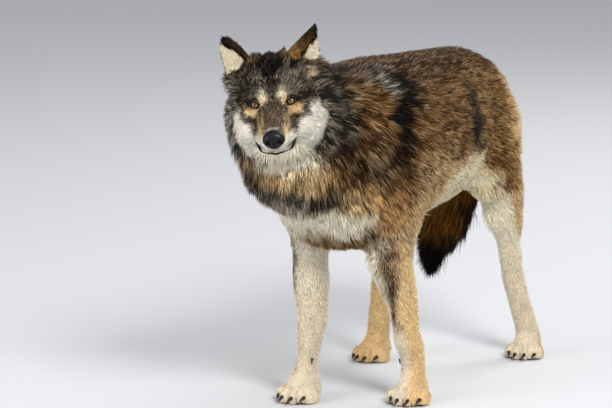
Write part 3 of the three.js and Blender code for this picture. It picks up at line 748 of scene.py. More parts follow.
# The same on the head, from the point between the eyes.
HEAD_PATCHES = [
    ((0, 80, 72), (34, 70, 34), 0.5, DARK, 0.86, 0.1),  # crown
    ((0, 20, 50), (12, 70, 36), 0.6, DARK, 0.86, 0.1),  # stripe
    ((0, 0, 18), (9, 50, 22), 0.6, GRIZZLE, 0.66, 0.25),
    ((34, 20, 40), (22, 50, 22), 0.5, GRIZZLE, 0.46, 0.4),
    ((70, 24, 10), (32, 50, 11), 0.6, SABLE, 0.85, 0.1),  # temples
    ((73, 34, -50), (27, 90, 39), 0.25, WHITE, 0, 0.3),  # cheeks
    ((60, 10, -76), (34, 90, 30), 0.25, WHITE, 0, 0.3),
    ((36, 20, -104), (42, 90, 32), 0.3, WHITE, 0, 0.3),
    ((0, 10, -116), (50, 90, 40), 0.35, PALE, 0, 0.3),
    ((22, -70, -62), (24, 60, 22), 0.3, WHITE, 0.02, 0.3),  # muzzle and chin
    ((0, -70, -92), (34, 50, 16), 0.4, WHITE, 0.02, 0.3),
    ((26, -54, -30), (8, 60, 22), 0.7, SAND, 0.08, 0.35),  # beside the bridge
    ((0, -50, -24), (23, 66, 30), 0.4, BRIDGE, 0.36, 0.25),  # bridge
    ((0, -12, 4), (12, 40, 12), 0.5, SABLE, 0.5, 0.3),
    ((22, 0, 21), (11, 50, 11), 0.8, CREAM, 0.05, 0.4),  # brow spots
    ((24, 0, 9), (5, 50, 7), 0.8, SAND, 0.12, 0.3),
    ((46, 0, -12), (17, 50, 12), 0.5, SAND, 0.05, 0.45),  # below the eyes
    ((50, 0, -30), (19, 50, 6), 0.7, SABLE, 0.6, 0.25),  # crescents
    ((68, 10, -17), (5, 50, 12), 0.7, SABLE, 0.55, 0.25),
    ((27, -24, -22), (4, 40, 18), 0.7, SABLE, 0.5, 0.15),  # tear lines
    ((0, -99, -29), (19, 12, 4), 0.6, GREY, 0.1, 0.5),  # above the nose
]
# The same on one side of the head.
SINGLE_HEAD_PATCHES = [
    ((38, 90, 100), (27, 60, 24), 0.6, ORANGE, 0.34, 0.2),  # rust before the ears
    ((-40, 96, 80), (14, 40, 12), 0.8, RUST, 0.5, 0.15),
    ((92, 86, 56), (20, 48, 20), 0.5, CREAM, 0.06, 0.45),  # foot of the left ear
    ((82, 68, 36), (11, 30, 9), 0.7, SAND, 0.2, 0.3),
    ((48, 60, 62), (9, 40, 9), 0.8, DARK, 0.85, 0.05),
    ((-56, 30, 34), (34, 50, 20), 0.9, GRIZZLE, 0.76, 0.16),  # right temple
    ((44, 24, 40), (26, 50, 20), 0.8, GRIZZLE, 0.4, 0.46),
    ((-114, 80, -60), (36, 60, 90), 0.6, GREY, 0.42, 0.4),  # right side of the ruff
]
# For each foreleg: where its dark line lies in degrees from the front, how far it turns at the top, the
# line's width, the heights over which it starts, and the colour outside it.
FORELEG_LINES = {
    "leg_fore_left": (-1, -9, 20, 120, 180, HONEY),
    "leg_fore_right": (-46, 0, 13, 190, 270, SAND),
}
# The line along the flank below which the belly is pale: distances behind HOME, and heights.
BELLY_EDGE = ((-60, 60, 150, 240, 330, 430, 500, 560), (450, 470, 480, 500, 515, 470, 395, 300))


def spot(places, centre, radii, edge):
    """A soft oval: 1 inside (1 - edge) of its radii, and 0 outside (1 + edge) of them."""
    share = np.linalg.norm((places - np.array(centre)) / np.array(radii), axis=1)
    return 1 - ramp(share, 1 - edge, 1 + edge)


class Markings:
    """The coat's colour and its shares of dark and of pale hairs. Soft patches are laid over each other in
    turn, from the flank to the face. points are where the hair shows, and roots where it grows."""

    def __init__(self, points, roots, normals):
        """Lays all markings over ochre."""
        count = len(points)
        self.base = np.tile(OCHRE, (count, 1))
        self.dark, self.pale = np.full(count, 0.36), np.full(count, 0.24)
        body = on_body(points)
        body = body + warp(points, 0.09, 50) * 6
        lean = 18 * ramp(body[:, 1], 200, 560)
        mirrored = np.stack([np.abs(body[:, 0] + lean), body[:, 1], body[:, 2]], 1)
        back = ramp(body[:, 2], 655, 715) * ramp(body[:, 1], -120, 40)
        self.lay(back, RUST, 0.64, 0.16)
        self.lay_patches(mirrored, BODY_PATCHES)
        self.lay_patches(body, SINGLE_PATCHES)
        self.lay_belly(body)
        self.lay_legs(body, on_body(roots)[:, 2], normals)
        self.lay_tail(body)
        self.lay_head(points, on_head(points), on_head(roots))
        for side in SIDES:
            self.lay_ear(roots, normals, side)

    def lay(self, mask, colour, dark, pale):
        """Lays a colour and its shares over what is there."""
        self.base = mix(self.base, colour, mask)
        self.dark = self.dark + (dark - self.dark) * mask
        self.pale = self.pale + (pale - self.pale) * mask

    def lay_patches(self, places, patches, reach=1):
        """Lays soft ovals over what is there, within a mask."""
        for centre, radii, edge, *look in patches:
            self.lay(reach * spot(places, centre, radii, edge), *look)

    def lay_belly(self, body):
        """Buff between the forelegs and ivory behind them, below a line along the flank."""
        y, z = body[:, 1], body[:, 2]
        under = 1 - ramp(z - np.interp(y, *BELLY_EDGE), -32, 26)
        under *= ramp(y, -60, 0) * (1 - ramp(y, 530, 575) * (body[:, 0] < 30))
        self.lay(under, BUFF, 0.12, 0.4)
        self.lay(under * ramp(y, 130, 230), IVORY, 0.1, 0.3)

    def lay_legs(self, body, rise, normals):
        """Cream legs, sandy outside or behind, and paler on their upper parts as painted light against the
        shade that the body casts there. Each foreleg has a dark line down its front, at an angle from the
        front towards the other leg. Soles are black."""
        x, y, z = body.T
        for leg in LEGS:
            fore = "fore" in leg
            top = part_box(leg)[1][2] / MM
            heights = np.arange(20, top, 40)
            line = np.array([level(leg, h) for h in heights])
            across = (x - np.interp(z, heights, line[:, 0])) * (1 if "left" in leg else -1)
            back = y - np.interp(z, heights, line[:, 1])
            near = 1 - ramp(np.hypot(across, back), 70, 100)
            near *= 1 - ramp(z, top - 10, top + (70 if fore else 20))
            self.lay(near, LEG, 0.02, 0.35)
            # painted light: the upper legs are laid paler, lifting the shade that the body casts on them
            self.lay(near * ramp(z, 200, 280), PALE, 0.03, 0.35)
            if fore:
                start, turn, width, low, high, colour = FORELEG_LINES[leg]
                start = start + turn * ramp(z, 240, 330)
                inwards = np.degrees(np.arctan2(-across, -back))
                outside = ramp(start - inwards, -4, 26) * (1 - ramp(start - inwards, 190, 230))
                self.lay(near * outside, colour, 0.05, 0.25)
                self.lay(near * outside * ramp(z, 290, 380), TAN, 0.24, 0.3)
                wide = width * (1 + 0.5 * ramp(z, 240, 330))
                self.lay(near * bell(inwards - start, wide) * ramp(z, low, high), BROWN, 0.46, 0.4)
            elif leg == "leg_hind_right":
                self.lay(near, SAND, 0.08, 0.32)
            else:
                rear = ramp(back + 0.3 * across + 46 * ramp(z, 240, 390), 4, 34)
                self.lay(near * rear, SAND, 0.1, 0.25)
                self.lay(near * rear * ramp(z, 200, 320), BUFF, 0.12, 0.42)
        self.lay(spot(body, (-2, -130, 352), (60, 90, 24), 0.6), FAWN, 0.36, 0.12)  # between the forelegs
        self.lay((rise < 5) * (normals[:, 2] < -0.6), BLACK, 1, 0)

    def lay_tail(self, body):
        """A dark brown tail with black edges and tip."""
        heights = np.array([row[0] for row in TAIL_CHART])[::-1]
        line = np.array([level("tail", h) for h in heights])
        side = body[:, 0] - np.interp(body[:, 2], heights, line[:, 0])
        back = body[:, 1] - np.interp(body[:, 2], heights, line[:, 1])
        wide = 62 + 40 * (1 - ramp(body[:, 2], 300, 380))
        tail = (1 - ramp(np.hypot(side, back) - wide, 0, 22)) * (1 - ramp(body[:, 2], 540, 610))
        self.lay(tail, TAIL, 0.24, 0.03)
        self.lay(tail * ramp(np.abs(side), 38, 58), SABLE, 0.65, 0.02)
        self.lay(tail * (1 - ramp(body[:, 2], 215, 275)), DARK, 0.8, 0)

    def lay_head(self, points, head, roots):
        """The mask, the lips and the lids."""
        x, y, z = head.T
        sway = 1.2 * np.stack([wander(points, 0.02, 60), 0 * x, wander(points, 0.02, 61)], 1)
        place = sway + np.stack([np.abs(x) - 8 * np.sign(x) * ramp(np.abs(x), 60, 100), y, z], 1)
        reach = 1 - ramp(y + 0.35 * np.abs(z + 20), 110, 165)
        reach *= 1 - ramp(-z, 120, 150)
        self.lay(reach, GRIZZLE, 0.62, 0.22)
        self.lay_patches(place, HEAD_PATCHES, reach)
        self.lay_patches(head + sway, SINGLE_HEAD_PATCHES, reach)
        for side in SIDES:
            outside, away = beyond_lids(roots, side)
            self.lay((1 - ramp(outside, 1.0, 2.6)) * (1 - ramp(away, 17, 21)), BLACK, 1, 0)
        self.lay(spot(place, (25.5, -14, -5), (3, 14, 5), 0.5), BLACK, 0.9, 0)  # inner corners
        back, rise = roots[:, 1], roots[:, 2]
        lip = bell(rise - mouth_height(back), 2.0) * (1 - ramp(back, -38, -28)) * ramp(back, -125, -100)
        self.lay(lip * (rise > -100), BLACK, 1, 0)

    def lay_ear(self, points, normals, side):
        """An ear dark behind with rust at its foot, and cream inside within a dark rim."""
        along, mask = along_ear(points, side)
        self.lay(mask, SABLE, 0.7, 0.08)
        beyond = beyond_edge(points, side)
        behind = ORANGE if side == "left" else RUST
        self.lay(mask * (1 - ramp(along, 0.3, 0.75)) * (1 - ramp(beyond, 0, 8)), behind, 0.4, 0.15)
        self.lay(mask * (1 - ramp(along, 0.1, 0.3)) * ramp(beyond, 0, 8), GRIZZLE, 0.4, 0.4)
        self.lay(mask * ramp(along, 0.8, 0.95), DARK, 0.8, 0.05)
        inner, rim = ear_cup(points, normals, side)
        self.lay(mask * inner, CREAM, 0.03, 0.3)
        self.lay(mask * rim, DARK, 0.85, 0.05)


# ---- The ears ----
EAR_REACH = 0.14  # points further from an ear's middle are taken as far off
EAR_TURN = {"left": 36, "right": 0}  # degrees
EAR_DEEPER = {"left": 1.45, "right": 1.1}
# How much wider the left ear is towards the crown: shares of its height, and millimetres.
LEFT_EAR_WIDER = ((0.0, 0.3, 0.5, 0.7, 0.95), (44, 38, 27, 14, 0))
LEFT_EAR_LOWER = 0.95  # its height as a share of the node's
# Where the cream inside an ear ends towards the head's middle: heights, and distances from the middle.
EAR_EDGE = {
    "left": ((38, 64, 81, 98, 115, 132), (60, 66, 84, 103, 111, 111)),
    "right": ((50, 63, 73, 84, 94, 107, 118), (50, 56, 60, 70, 82, 96, 108)),
}


def ear_spots(side):
    """The corners of an ear's node. The left ear is turned outwards about its own line, deepened, widened
    towards the crown and lowered."""
    low, high = ear_line(side)
    way = unit(high - low)
    turn = np.array(Matrix.Rotation(math.radians(EAR_TURN[side]), 3, Vector(way)))
    spots = low + (corners_of(MESHES[f"ear_{side}"]) - low) @ turn.T
    axes = ear_axes(spots, way)
    deep = (spots - low) @ axes[:, 1]
    spots = spots + axes[:, 1] * (deep * (EAR_DEEPER[side] - 1))[:, None]
    if side == "right":
        return spots
    places, foot, tip = on_head(spots), on_head(low[None])[0], on_head(high[None])[0]
    along = (places[:, 2] - foot[2]) / (tip[2] - foot[2])
    inner = foot[0] + (tip[0] - foot[0]) * along - places[:, 0]
    places[:, 0] -= np.interp(along, *LEFT_EAR_WIDER) * ramp(inner, 0, 8)
    places[:, 2] = foot[2] + (places[:, 2] - foot[2]) * LEFT_EAR_LOWER
    return from_head(places)


def ear_axes(spots, way):
    """An ear's own axes as columns: outwards across its opening, and backwards from it."""
    flat = spots - spots.mean(0)
    flat = flat - (flat @ way)[:, None] * way
    _, directions = np.linalg.eigh(flat.T @ flat)
    back = unit(np.cross(way, directions[:, 2]))
    back = back * np.sign(back @ HEAD_AXES[:, 1] + 1e-6)
    return np.stack([np.cross(back, way), back], axis=1)


def off_ear(points, side, most=0.03):
    """The distance of points from an ear's surface, or most where it is more."""
    faces = triangles_of(MESHES[f"ear_{side}"])
    tree = BVHTree.FromPolygons(ear_spots(side).tolist(), faces.tolist())
    low, high = ear_line(side)
    found = np.full(len(points), most)
    near = np.linalg.norm(points - (low + high) / 2, axis=1) < EAR_REACH
    for i in np.flatnonzero(near).tolist():
        spot_on_ear, _, _, away = tree.find_nearest(Vector(points[i]), most)
        if spot_on_ear is not None:
            found[i] = away
    return found


def along_ear(points, side):
    """How far up an ear the points lie, as a share, and a mask of that ear: 1 within 4 mm of its surface,
    from a tenth of its height, as the head's own hair covers its foot."""
    low, high = ear_line(side)
    way = high - low
    along = (points - low) @ way / (way @ way)
    return along, ((along > 0.1) & (off_ear(points, side) < 0.004)).astype(float)


def beyond_edge(points, side):
    """How far points lie outwards of the edge of an ear's cream inside."""
    places = on_head(points)
    return np.abs(places[:, 0]) - np.interp(places[:, 2], *EAR_EDGE[side])


def ear_cup(points, normals, side):
    """Masks of the cream inside of an ear's cup, which faces forwards, and of the dark rim beside it."""
    low, high = ear_line(side)
    axes = ear_axes(ear_spots(side), unit(high - low))
    beyond = beyond_edge(points, side) + 1.5 * wander(points, 0.012, 62)
    inside = ramp(-normals @ axes[:, 1], -0.1, 0.2)
    along, _ = along_ear(points, side)
    inner = inside * ramp(beyond, -2, 3) * (1 - ramp(along, 0.84, 0.97))
    return inner, bell(beyond + 5, 5) * ramp(along, 0.05, 0.2)


# ---- Hair locks ----
RING = np.array([[-1, 0], [1, 0], [0, 1]])  # left, right and ridge of a lock's section
# A lock's corners: its foot, the ring in its middle and its tip.
LOCK_FACES = np.array(
    [[1 + i, 1 + (i + 1) % 3, 0] for i in range(3)] + [[1 + i, 4, 1 + (i + 1) % 3] for i in range(3)]
)
LOCK_MAP = np.array([[0.5, 0], [0, 0.5], [1, 0.5], [0.5, 0.7], [0.5, 1]]) * 0.003  # a lock unwrapped
SKIRT = 0.004  # below this height locks are pressed together above the floor
BEND, STEEP, FLAT = 0.45, 1.5, 0.62  # where a lock bends, and its rise before and after, as shares
STREAK_WAY = unit(np.array([0, 0.9, -0.4]))  # streaks of one colour are longest this way
DARK_HAIR, PALE_HAIR, PALEST = 0.16, 1.65, WHITE * 1.1  # hairs against the coat's own colour, and their cap


def laid(lie, normals):
    """The lie turned into the skin's surface."""
    return unit(lie - normals * (lie * normals).sum(1)[:, None])


def half_width(length):
    """Half a lock's width, which grows slowly with its length."""
    return 0.00032 + 0.0105 * length


def scattered(points, triangles, want, count, rng):
    """Numbers of triangles and shares of their corners for count roots, spread evenly over area times the
    want of each vertex: equal steps along the running sum."""
    a, b, c = (points[triangles[:, i]] for i in range(3))
    area = np.linalg.norm(np.cross(b - a, c - a), axis=1) * want[triangles].mean(1)
    order = np.lexsort((a[:, 2] // 0.01, a[:, 1] // 0.01))
    total = np.cumsum(area[order])
    steps = (np.arange(count) + rng.uniform(0, 1, count)) / count * total[-1]
    picked = order[np.searchsorted(total, steps).clip(0, len(order) - 1)]
    u, v = rng.uniform(0, 1, (2, count))
    flip = u + v > 1
    u, v = np.where(flip, 1 - u, u), np.where(flip, 1 - v, v)
    return picked, np.stack([1 - u - v, u, v], 1)


def locks(root, normal, lie, depth, length, rng, clump, cell):
    """Closed locks of hair, each a foot, a middle ring and a tip: 5 corners and 6 triangles.

    A lock's rise is the angle whose sine is depth over length. It leaves the skin at STEEP of that angle, and
    from BEND of its length it goes on at FLAT of it, so that the tip lies down at the coat's depth. Locks of
    one cell of the warped space lean together. Heights below SKIRT end as SKIRT exp(z / SKIRT - 1)."""
    count = len(root)
    along = laid(lie, normal)
    swing = 0.10 * wander(root, 0.045, 21) + 0.08 * wander(root, 0.016, 22) + rng.normal(0, 0.07, count)
    across = np.cross(along, normal)
    along = along * np.cos(swing)[:, None] + across * np.sin(swing)[:, None]
    across = np.cross(along, normal)
    length = length * rng.uniform(0.72, 1.12, count) * (1 + 0.10 * wander(root, 0.03, 23))
    rise = np.arcsin(np.clip(depth * rng.uniform(0.8, 1.35, count) / length, 0, 0.85))
    steep, flat = rise * STEEP, rise * FLAT
    half = half_width(length) * rng.uniform(0.75, 1.25, count)
    base = root - normal * np.minimum(0.0012, 0.1 * depth)[:, None]
    first = along * np.cos(steep)[:, None] + normal * np.sin(steep)[:, None]
    mid = base + first * (BEND * length)[:, None]
    last = along * np.cos(flat)[:, None] + normal * np.sin(flat)[:, None]
    tip = mid + last * ((1 - BEND) * length)[:, None]
    cells = np.floor((root + warp(root, 0.03, 30) * 0.006) / cell).astype(int)
    home_cell = np.unique(cells, axis=0, return_inverse=True)[1].ravel()
    members = np.bincount(home_cell)
    lean = np.stack([np.bincount(home_cell, tip[:, i]) for i in range(3)], 1) / members[:, None]
    tip = mix(tip, lean[home_cell], clump * rng.uniform(0.5, 1.3, count))
    offset = across[:, None] * RING[None, :, :1] + normal[:, None] * RING[None, :, 1:] * 0.8
    ring = mid[:, None] + offset * half[:, None, None]
    spots = np.concatenate([base[:, None], ring, tip[:, None]], axis=1)
    low = np.minimum(spots[..., 2] / SKIRT, 1)
    spots[..., 2] = np.where(spots[..., 2] < SKIRT, SKIRT * np.exp(low - 1), spots[..., 2])
    return spots


def lock_colours(root, normal, seen, length, rng):
    """Colours of a lock's base, middle and tip: the lock is dark, pale or of the coat's own colour, drawn
    by the markings' shares. The draw is a random number mixed with noise drawn out along the hair, more of
    it where the hair is long, and made even by 0.5 + 0.5 tanh(0.8 d / spread). Tips are darker where dark
    hairs are common. The base is painted shade deep in the coat: half-way to the coat's own colour, darkened
    to 0.55 of that."""
    marks = Markings(seen, root, normal)
    drawn_out = root - (root @ STREAK_WAY)[:, None] * STREAK_WAY * 0.6
    streak = 0.27 * (wander(drawn_out, 0.024, 41) + wander(drawn_out, 0.010, 42)) / math.sqrt(2)
    shared = 0.2 + 0.35 * ramp(length, 0.012, 0.04)
    draw = (1 - shared) * (rng.uniform(0, 1, len(root)) - 0.5) + shared * streak
    spread = np.sqrt((1 - shared) ** 2 / 12 + (0.27 * shared) ** 2)
    draw = 0.5 + 0.5 * np.tanh(0.8 * draw / spread)
    is_dark = draw < marks.dark - 0.02
    is_pale = (draw > 1 - marks.pale) & ~is_dark
    light = rng.uniform(0.8, 1.2, len(root))[:, None]
    hair = np.where(is_dark[:, None], marks.base * DARK_HAIR, marks.base)
    pale = np.minimum(mix(marks.base * PALE_HAIR, CREAM, 0.2), PALEST)
    hair = np.where(is_pale[:, None], pale, hair) * light
    tipped = rng.uniform(0, 1, len(root)) < 0.9 * marks.dark
    tip = np.where(tipped[:, None], hair * 0.2, hair * 1.15)
    # painted shade: each lock's foot lies half-way to the coat's own colour and is darkened to 0.55, deep in
    # the coat between the locks
    foot = mix(hair, marks.base, 0.5) * 0.55
    return np.stack([foot] + [hair] * 3 + [tip], axis=1)


def coat_mesh(name, member, count, seed, unwrap, clump, cell):
    """One coat piece: its locks, their colours, and the OFBake map, where each lock is a small patch at its
    root's place on the unwrap. Colours are taken near the lock's tip, where the hair is seen."""
    rng = np.random.default_rng(seed)
    picked, shares = scattered(SKIN["points"], SKIN["triangles"], member * SKIN["want"], count, rng)
    corners = SKIN["triangles"][picked]

    def at(values):
        """The skin's values at the roots."""
        return (values[corners] * shares.reshape(shares.shape + (1,) * (values.ndim - 1))).sum(1)

    root, normal, lie = at(SKIN["points"]), unit(at(SKIN["normals"])), at(SKIN["lie"])
    spots = locks(root, normal, lie, at(SKIN["depth"]), at(SKIN["length"]), rng, clump, cell)
    faces = (LOCK_FACES[None] + 5 * np.arange(count)[:, None, None]).reshape(-1, 3)
    seen = 0.45 * spots[:, 1:4].mean(1) + 0.55 * spots[:, 4]
    hair = lock_colours(root, normal, seen, at(SKIN["length"]), rng).reshape(-1, 3)
    mesh = painted_mesh(name, spots.reshape(-1, 3), faces, hair)
    at_map = (unwrap(root)[:, None] + LOCK_MAP[None]).reshape(-1, 2)
    add_map(mesh, "OFBake", at_map[faces.ravel()])
    return mesh


def round_unwrap(centre, way, start):
    """An unwrap round an axis: the angle about it from the start direction, and the distance along it."""
    way = unit(np.asarray(way, float))
    side = unit(np.cross(way, start))
    front = np.cross(side, way)

    def unwrap(points):
        """Places on the map, each from 0.01 to 0.98."""
        offset = points - centre
        angle = np.arctan2(offset @ side, offset @ front) / (2 * math.pi) + 0.5
        along = offset @ way
        span = max(along.max() - along.min(), 1e-6)
        return np.stack([0.01 + 0.97 * angle, 0.01 + 0.97 * (along - along.min()) / span], 1)

    return unwrap


# ---- Materials ----
def feed(node, inputs):
    """Gives a node's inputs their values, or links them where a value is another node's output."""
    for name, value in inputs.items():
        if isinstance(value, bpy.types.NodeSocket):
            node.id_data.links.new(value, node.inputs[name])
        else:
            node.inputs[name].default_value = value


def add(tree, kind, inputs=None, **settings):
    """A new shader node with its settings and inputs."""
    node = tree.nodes.new("ShaderNode" + kind)
    for name, value in settings.items():
        setattr(node, name, value)
    feed(node, inputs or {})
    return node


def coloured(tree, value, stops):
    """A value's colour, blended between stops."""
    node = add(tree, "ValToRGB", {"Fac": value})
    elements = node.color_ramp.elements
    while len(elements) < len(stops):
        elements.new(0.5)
    for element, (place, tone) in zip(elements, stops):
        element.position = place
        element.color = (*tone, 1)
    return node.outputs["Color"]


def new_material(name):
    """A node material, its tree and its Principled BSDF."""
    material = bpy.data.materials.new(name)
    material.use_nodes = True
    return material, material.node_tree, material.node_tree.nodes["Principled BSDF"]


def hair_grain():
    """A node group: fine streaks that vary a colour by 1 + spread (noise - 0.5), and their height."""
    group = bpy.data.node_groups.new("Hair grain", "ShaderNodeTree")
    for name, way, kind in (
        ("Colour", "INPUT", "Color"), ("Scale", "INPUT", "Float"), ("Spread", "INPUT", "Float"),
        ("Colour", "OUTPUT", "Color"), ("Height", "OUTPUT", "Float"),
    ):
        group.interface.new_socket(name, in_out=way, socket_type="NodeSocket" + kind)
    inlet = group.nodes.new("NodeGroupInput").outputs
    place = add(group, "TexCoord").outputs["Object"]
    settings = {"Vector": place, "Scale": inlet["Scale"], "Detail": 4, "Roughness": 0.65}
    noise = add(group, "TexNoise", settings).outputs["Fac"]
    centred = add(group, "Math", {0: noise, 1: 0.5}, operation="SUBTRACT").outputs[0]
    factors = {0: centred, 1: inlet["Spread"], 2: 1.0}
    spread = add(group, "Math", factors, operation="MULTIPLY_ADD").outputs[0]
    scaled = add(group, "VectorMath", {0: inlet["Colour"], "Scale": spread}, operation="SCALE")
    feed(group.nodes.new("NodeGroupOutput"), {"Colour": scaled.outputs[0], "Height": noise})
    return group


def grained(name, roughness, tone=None, scale=400, spread=0.5, bump=0.2):
    """Horn, bare skin or whiskers of one tone, or hair in the colours painted on it, with grain and relief.
    Hair is the less shiny, and its relief is twice as deep."""
    material, tree, shader = new_material(name)
    colour = (*tone, 1) if tone else add(tree, "Attribute", attribute_name="Coat").outputs["Color"]
    group = bpy.data.node_groups.get("Hair grain") or hair_grain()
    grain = add(tree, "Group", {"Colour": colour, "Scale": scale, "Spread": spread}, node_tree=group).outputs
    relief = {"Strength": bump, "Distance": 0.0005 if tone else 0.001, "Height": grain["Height"]}
    feed(shader, {
        "Base Color": grain["Colour"], "Roughness": roughness, "Specular IOR Level": 0.2 if tone else 0.05,
        "Normal": add(tree, "Bump", relief).outputs["Normal"],
    })
    return material


def nose_material():
    """Moist black leather: pebbled relief from small cells, glossier on the pebbles than between them, and
    darker between them as painted shade in the creases.
    """
    material, tree, shader = new_material("Wolf nose")
    place = add(tree, "TexCoord").outputs["Object"]
    cells = add(tree, "TexVoronoi", {"Vector": place, "Scale": 620}).outputs["Distance"]
    relief = add(tree, "Bump", {"Strength": 0.5, "Distance": 0.0006, "Height": cells}, invert=True)
    rough = add(tree, "MapRange", {"Value": cells, "To Min": 0.42, "To Max": 0.65})
    feed(shader, {
        # painted shade: the colour is darker in the creases between the pebbles than on them
        "Base Color": coloured(tree, cells, ((0, (0.006, 0.006, 0.007)), (1, (0.002, 0.002, 0.002)))),
        "Roughness": rough.outputs["Result"],
        "Normal": relief.outputs["Normal"],
        "Specular IOR Level": 0.1, "Coat Weight": 0.2, "Coat Roughness": 0.28,
    })
    return material


# The eyeball's colours by the distance from its look's axis, as a share of its width.
PUPIL_TO_WHITE = (
    (0.0, (0.004, 0.003, 0.003)),
    (0.066, (0.005, 0.004, 0.003)),
    (0.078, (0.10, 0.052, 0.018)),
    (0.14, (0.34, 0.19, 0.06)),
    (0.205, (0.16, 0.08, 0.025)),
    (0.232, (0.03, 0.018, 0.01)),
    (0.26, (0.012, 0.009, 0.008)),
    (0.40, (0.05, 0.035, 0.03)),
)


def eye_material():
    """A wet eyeball, by the distance from the middle of its own map: black pupil, amber iris with darker
    threads and a dark rim, and brown white."""
    material, tree, shader = new_material("Wolf eye")
    gaze = add(tree, "UVMap", uv_map="Gaze").outputs["UV"]
    offset = add(tree, "VectorMath", {0: gaze, 1: (0.5, 0.5, 0)}, operation="SUBTRACT").outputs[0]
    away = add(tree, "VectorMath", {0: offset}, operation="LENGTH").outputs["Value"]
    way = add(tree, "VectorMath", {0: offset}, operation="NORMALIZE").outputs[0]
    threads = add(tree, "TexNoise", {"Vector": way, "Scale": 9, "Detail": 3}).outputs["Fac"]
    layers = {"Factor": 0.55, "A": coloured(tree, away, PUPIL_TO_WHITE), "B": threads}
    streaked = add(tree, "Mix", data_type="RGBA", blend_type="MULTIPLY")
    feed(streaked, layers)
    feed(shader, {"Base Color": streaked.outputs["Result"], "Roughness": 0.05, "IOR": 1.34})
    return material


# ---- Pieces ----
def placed(name, mesh, material, slot, *nodes):
    """A finished piece: its object, material, body and the CAD nodes that it stands for. Its record slot is
    not used.
    """
    piece = linked(name, mesh)
    mesh.materials.clear()
    mesh.materials.append(material)
    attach(piece, "root")
    if nodes:
        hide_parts(*nodes)
    return piece


def outward(points, triangles):
    """The triangles turned so that the volume they enclose is positive."""
    a, b, c = ((points - points.mean(0))[triangles[:, i]] for i in range(3))
    return triangles if (a * np.cross(b, c)).sum() > 0 else triangles[:, ::-1]


def closed_grid(rings, looped):
    """Points and outward triangles of rings, with each quad between them split in two. Looped rings run on
    from the last to the first, and others are closed by a pole and a fan at each end."""
    rows, columns, _ = rings.shape
    r, c = np.meshgrid(np.arange(rows if looped else rows - 1), np.arange(columns), indexing="ij")
    here, there, aside = r * columns, (r + 1) % rows * columns, (c + 1) % columns
    quads = np.stack([here + c, here + aside, there + aside, there + c], axis=-1).reshape(-1, 4)
    points, faces = [rings.reshape(-1, 3)], [quads[:, :3], quads[:, [0, 2, 3]]]
    if not looped:
        c, aside = c[0], aside[0]
        for ring, pole, turn in ((0, rows * columns, 1), (rows - 1, rows * columns + 1, -1)):
            points.append(rings[ring].mean(0))
            fan = np.stack([ring * columns + aside, ring * columns + c, np.full(columns, pole)], 1)
            faces.append(fan[:, ::turn])
    points, faces = np.vstack(points), np.vstack(faces)
    return points, outward(points, faces)


def solid(name, *grids, looped=False, move=from_head):
    """One mesh from closed grids of rings, moved from the head's frame into the model's."""
    points, faces, total = [], [], 0
    for rings in grids:
        spots, triangles = closed_grid(rings, looped)
        points.append(spots)
        faces.append(triangles + total)
        total += len(spots)
    return mesh_from(name, move(np.vstack(points)), np.vstack(faces))


def tube_rings(path, radii, sides, start):
    """Rings carried along a path: circles of the radii, square to the path's direction."""
    way = unit(np.gradient(path, axis=0))
    across = unit(np.cross(way, start))
    above = np.cross(across, way)
    turn = turns(sides)
    circle = across[:, None] * np.cos(turn)[None, :, None] + above[:, None] * np.sin(turn)[None, :, None]
    return path[:, None] + circle * np.asarray(radii)[:, None, None]


SKIN = {}  # the skin's arrays, which the coat, the lips and the whiskers stand on


class WolfSettings(bpy.types.PropertyGroup):
    """Sizes and colours that a user would change."""

    voxel: bpy.props.FloatProperty(
        name="Skin detail", description="Size of the skin's first faces", default=0.0027,
        min=0.002, max=0.01, unit="LENGTH",
    )
    locks: bpy.props.IntProperty(
        name="Hair locks", description="Number of locks in the whole coat", default=235000, min=1000,
    )
    hair_roughness: bpy.props.FloatProperty(
        name="Hair roughness", description="Roughness of the hair", default=0.62,
        min=0, max=1, subtype="FACTOR",
    )
    floor_colour: bpy.props.FloatVectorProperty(
        name="Floor", description="Colour of the floor", default=(0.60, 0.61, 0.63),
        min=0, max=1, size=3, subtype="COLOR",
    )


class WOLF_OT_skin(bpy.types.Operator):
    """One skin over all flesh: voxels closed over the flesh, smoothed, drawn in by the coat's depth"""

    bl_idname = "wolf.skin"
    bl_label = "Skin"

    def execute(self, context):
        """Makes the skin and keeps its arrays for the coat."""
        mesh = drawn_in(whole_flesh(context.scene.wolf.voxel))
        for away, reach, longest in FINER:
            mesh = halved(mesh, away, reach, longest)
        points, triangles = corners_of(mesh), triangles_of(mesh)
        points = toes_parted(points, normals_of(points, triangles))
        outwards = normals_of(points, triangles) @ HEAD_AXES
        places = on_head(points)
        face = within(places, *FACE_BOX)
        places[face] = face_formed(places[face], outwards[face])
        points = from_head(places)
        ears = ear_mask(points)
        lie, depth, length = coat_at(points, ears)
        normals = normals_of(points, triangles)
        seen = points + normals * depth[:, None] * 0.8 + laid(lie, normals) * length[:, None] * 0.6
        marks = Markings(seen, points, normals)
        tone = marks.base * (1 - 0.5 * marks.dark + 0.15 * marks.pale)[:, None] * 0.8
        material = grained("Wolf skin", 0.75, scale=900, spread=0.9, bump=0.6)
        placed("skin", painted_mesh("skin", points, triangles, tone), material, "coat_trunk", *FLESH)
        SKIN.update(
            points=points, triangles=triangles, normals=normals, lie=lie, depth=depth,
            length=length, want=hair_want(points, normals, length), ears=ears,
        )
        return {"FINISHED"}


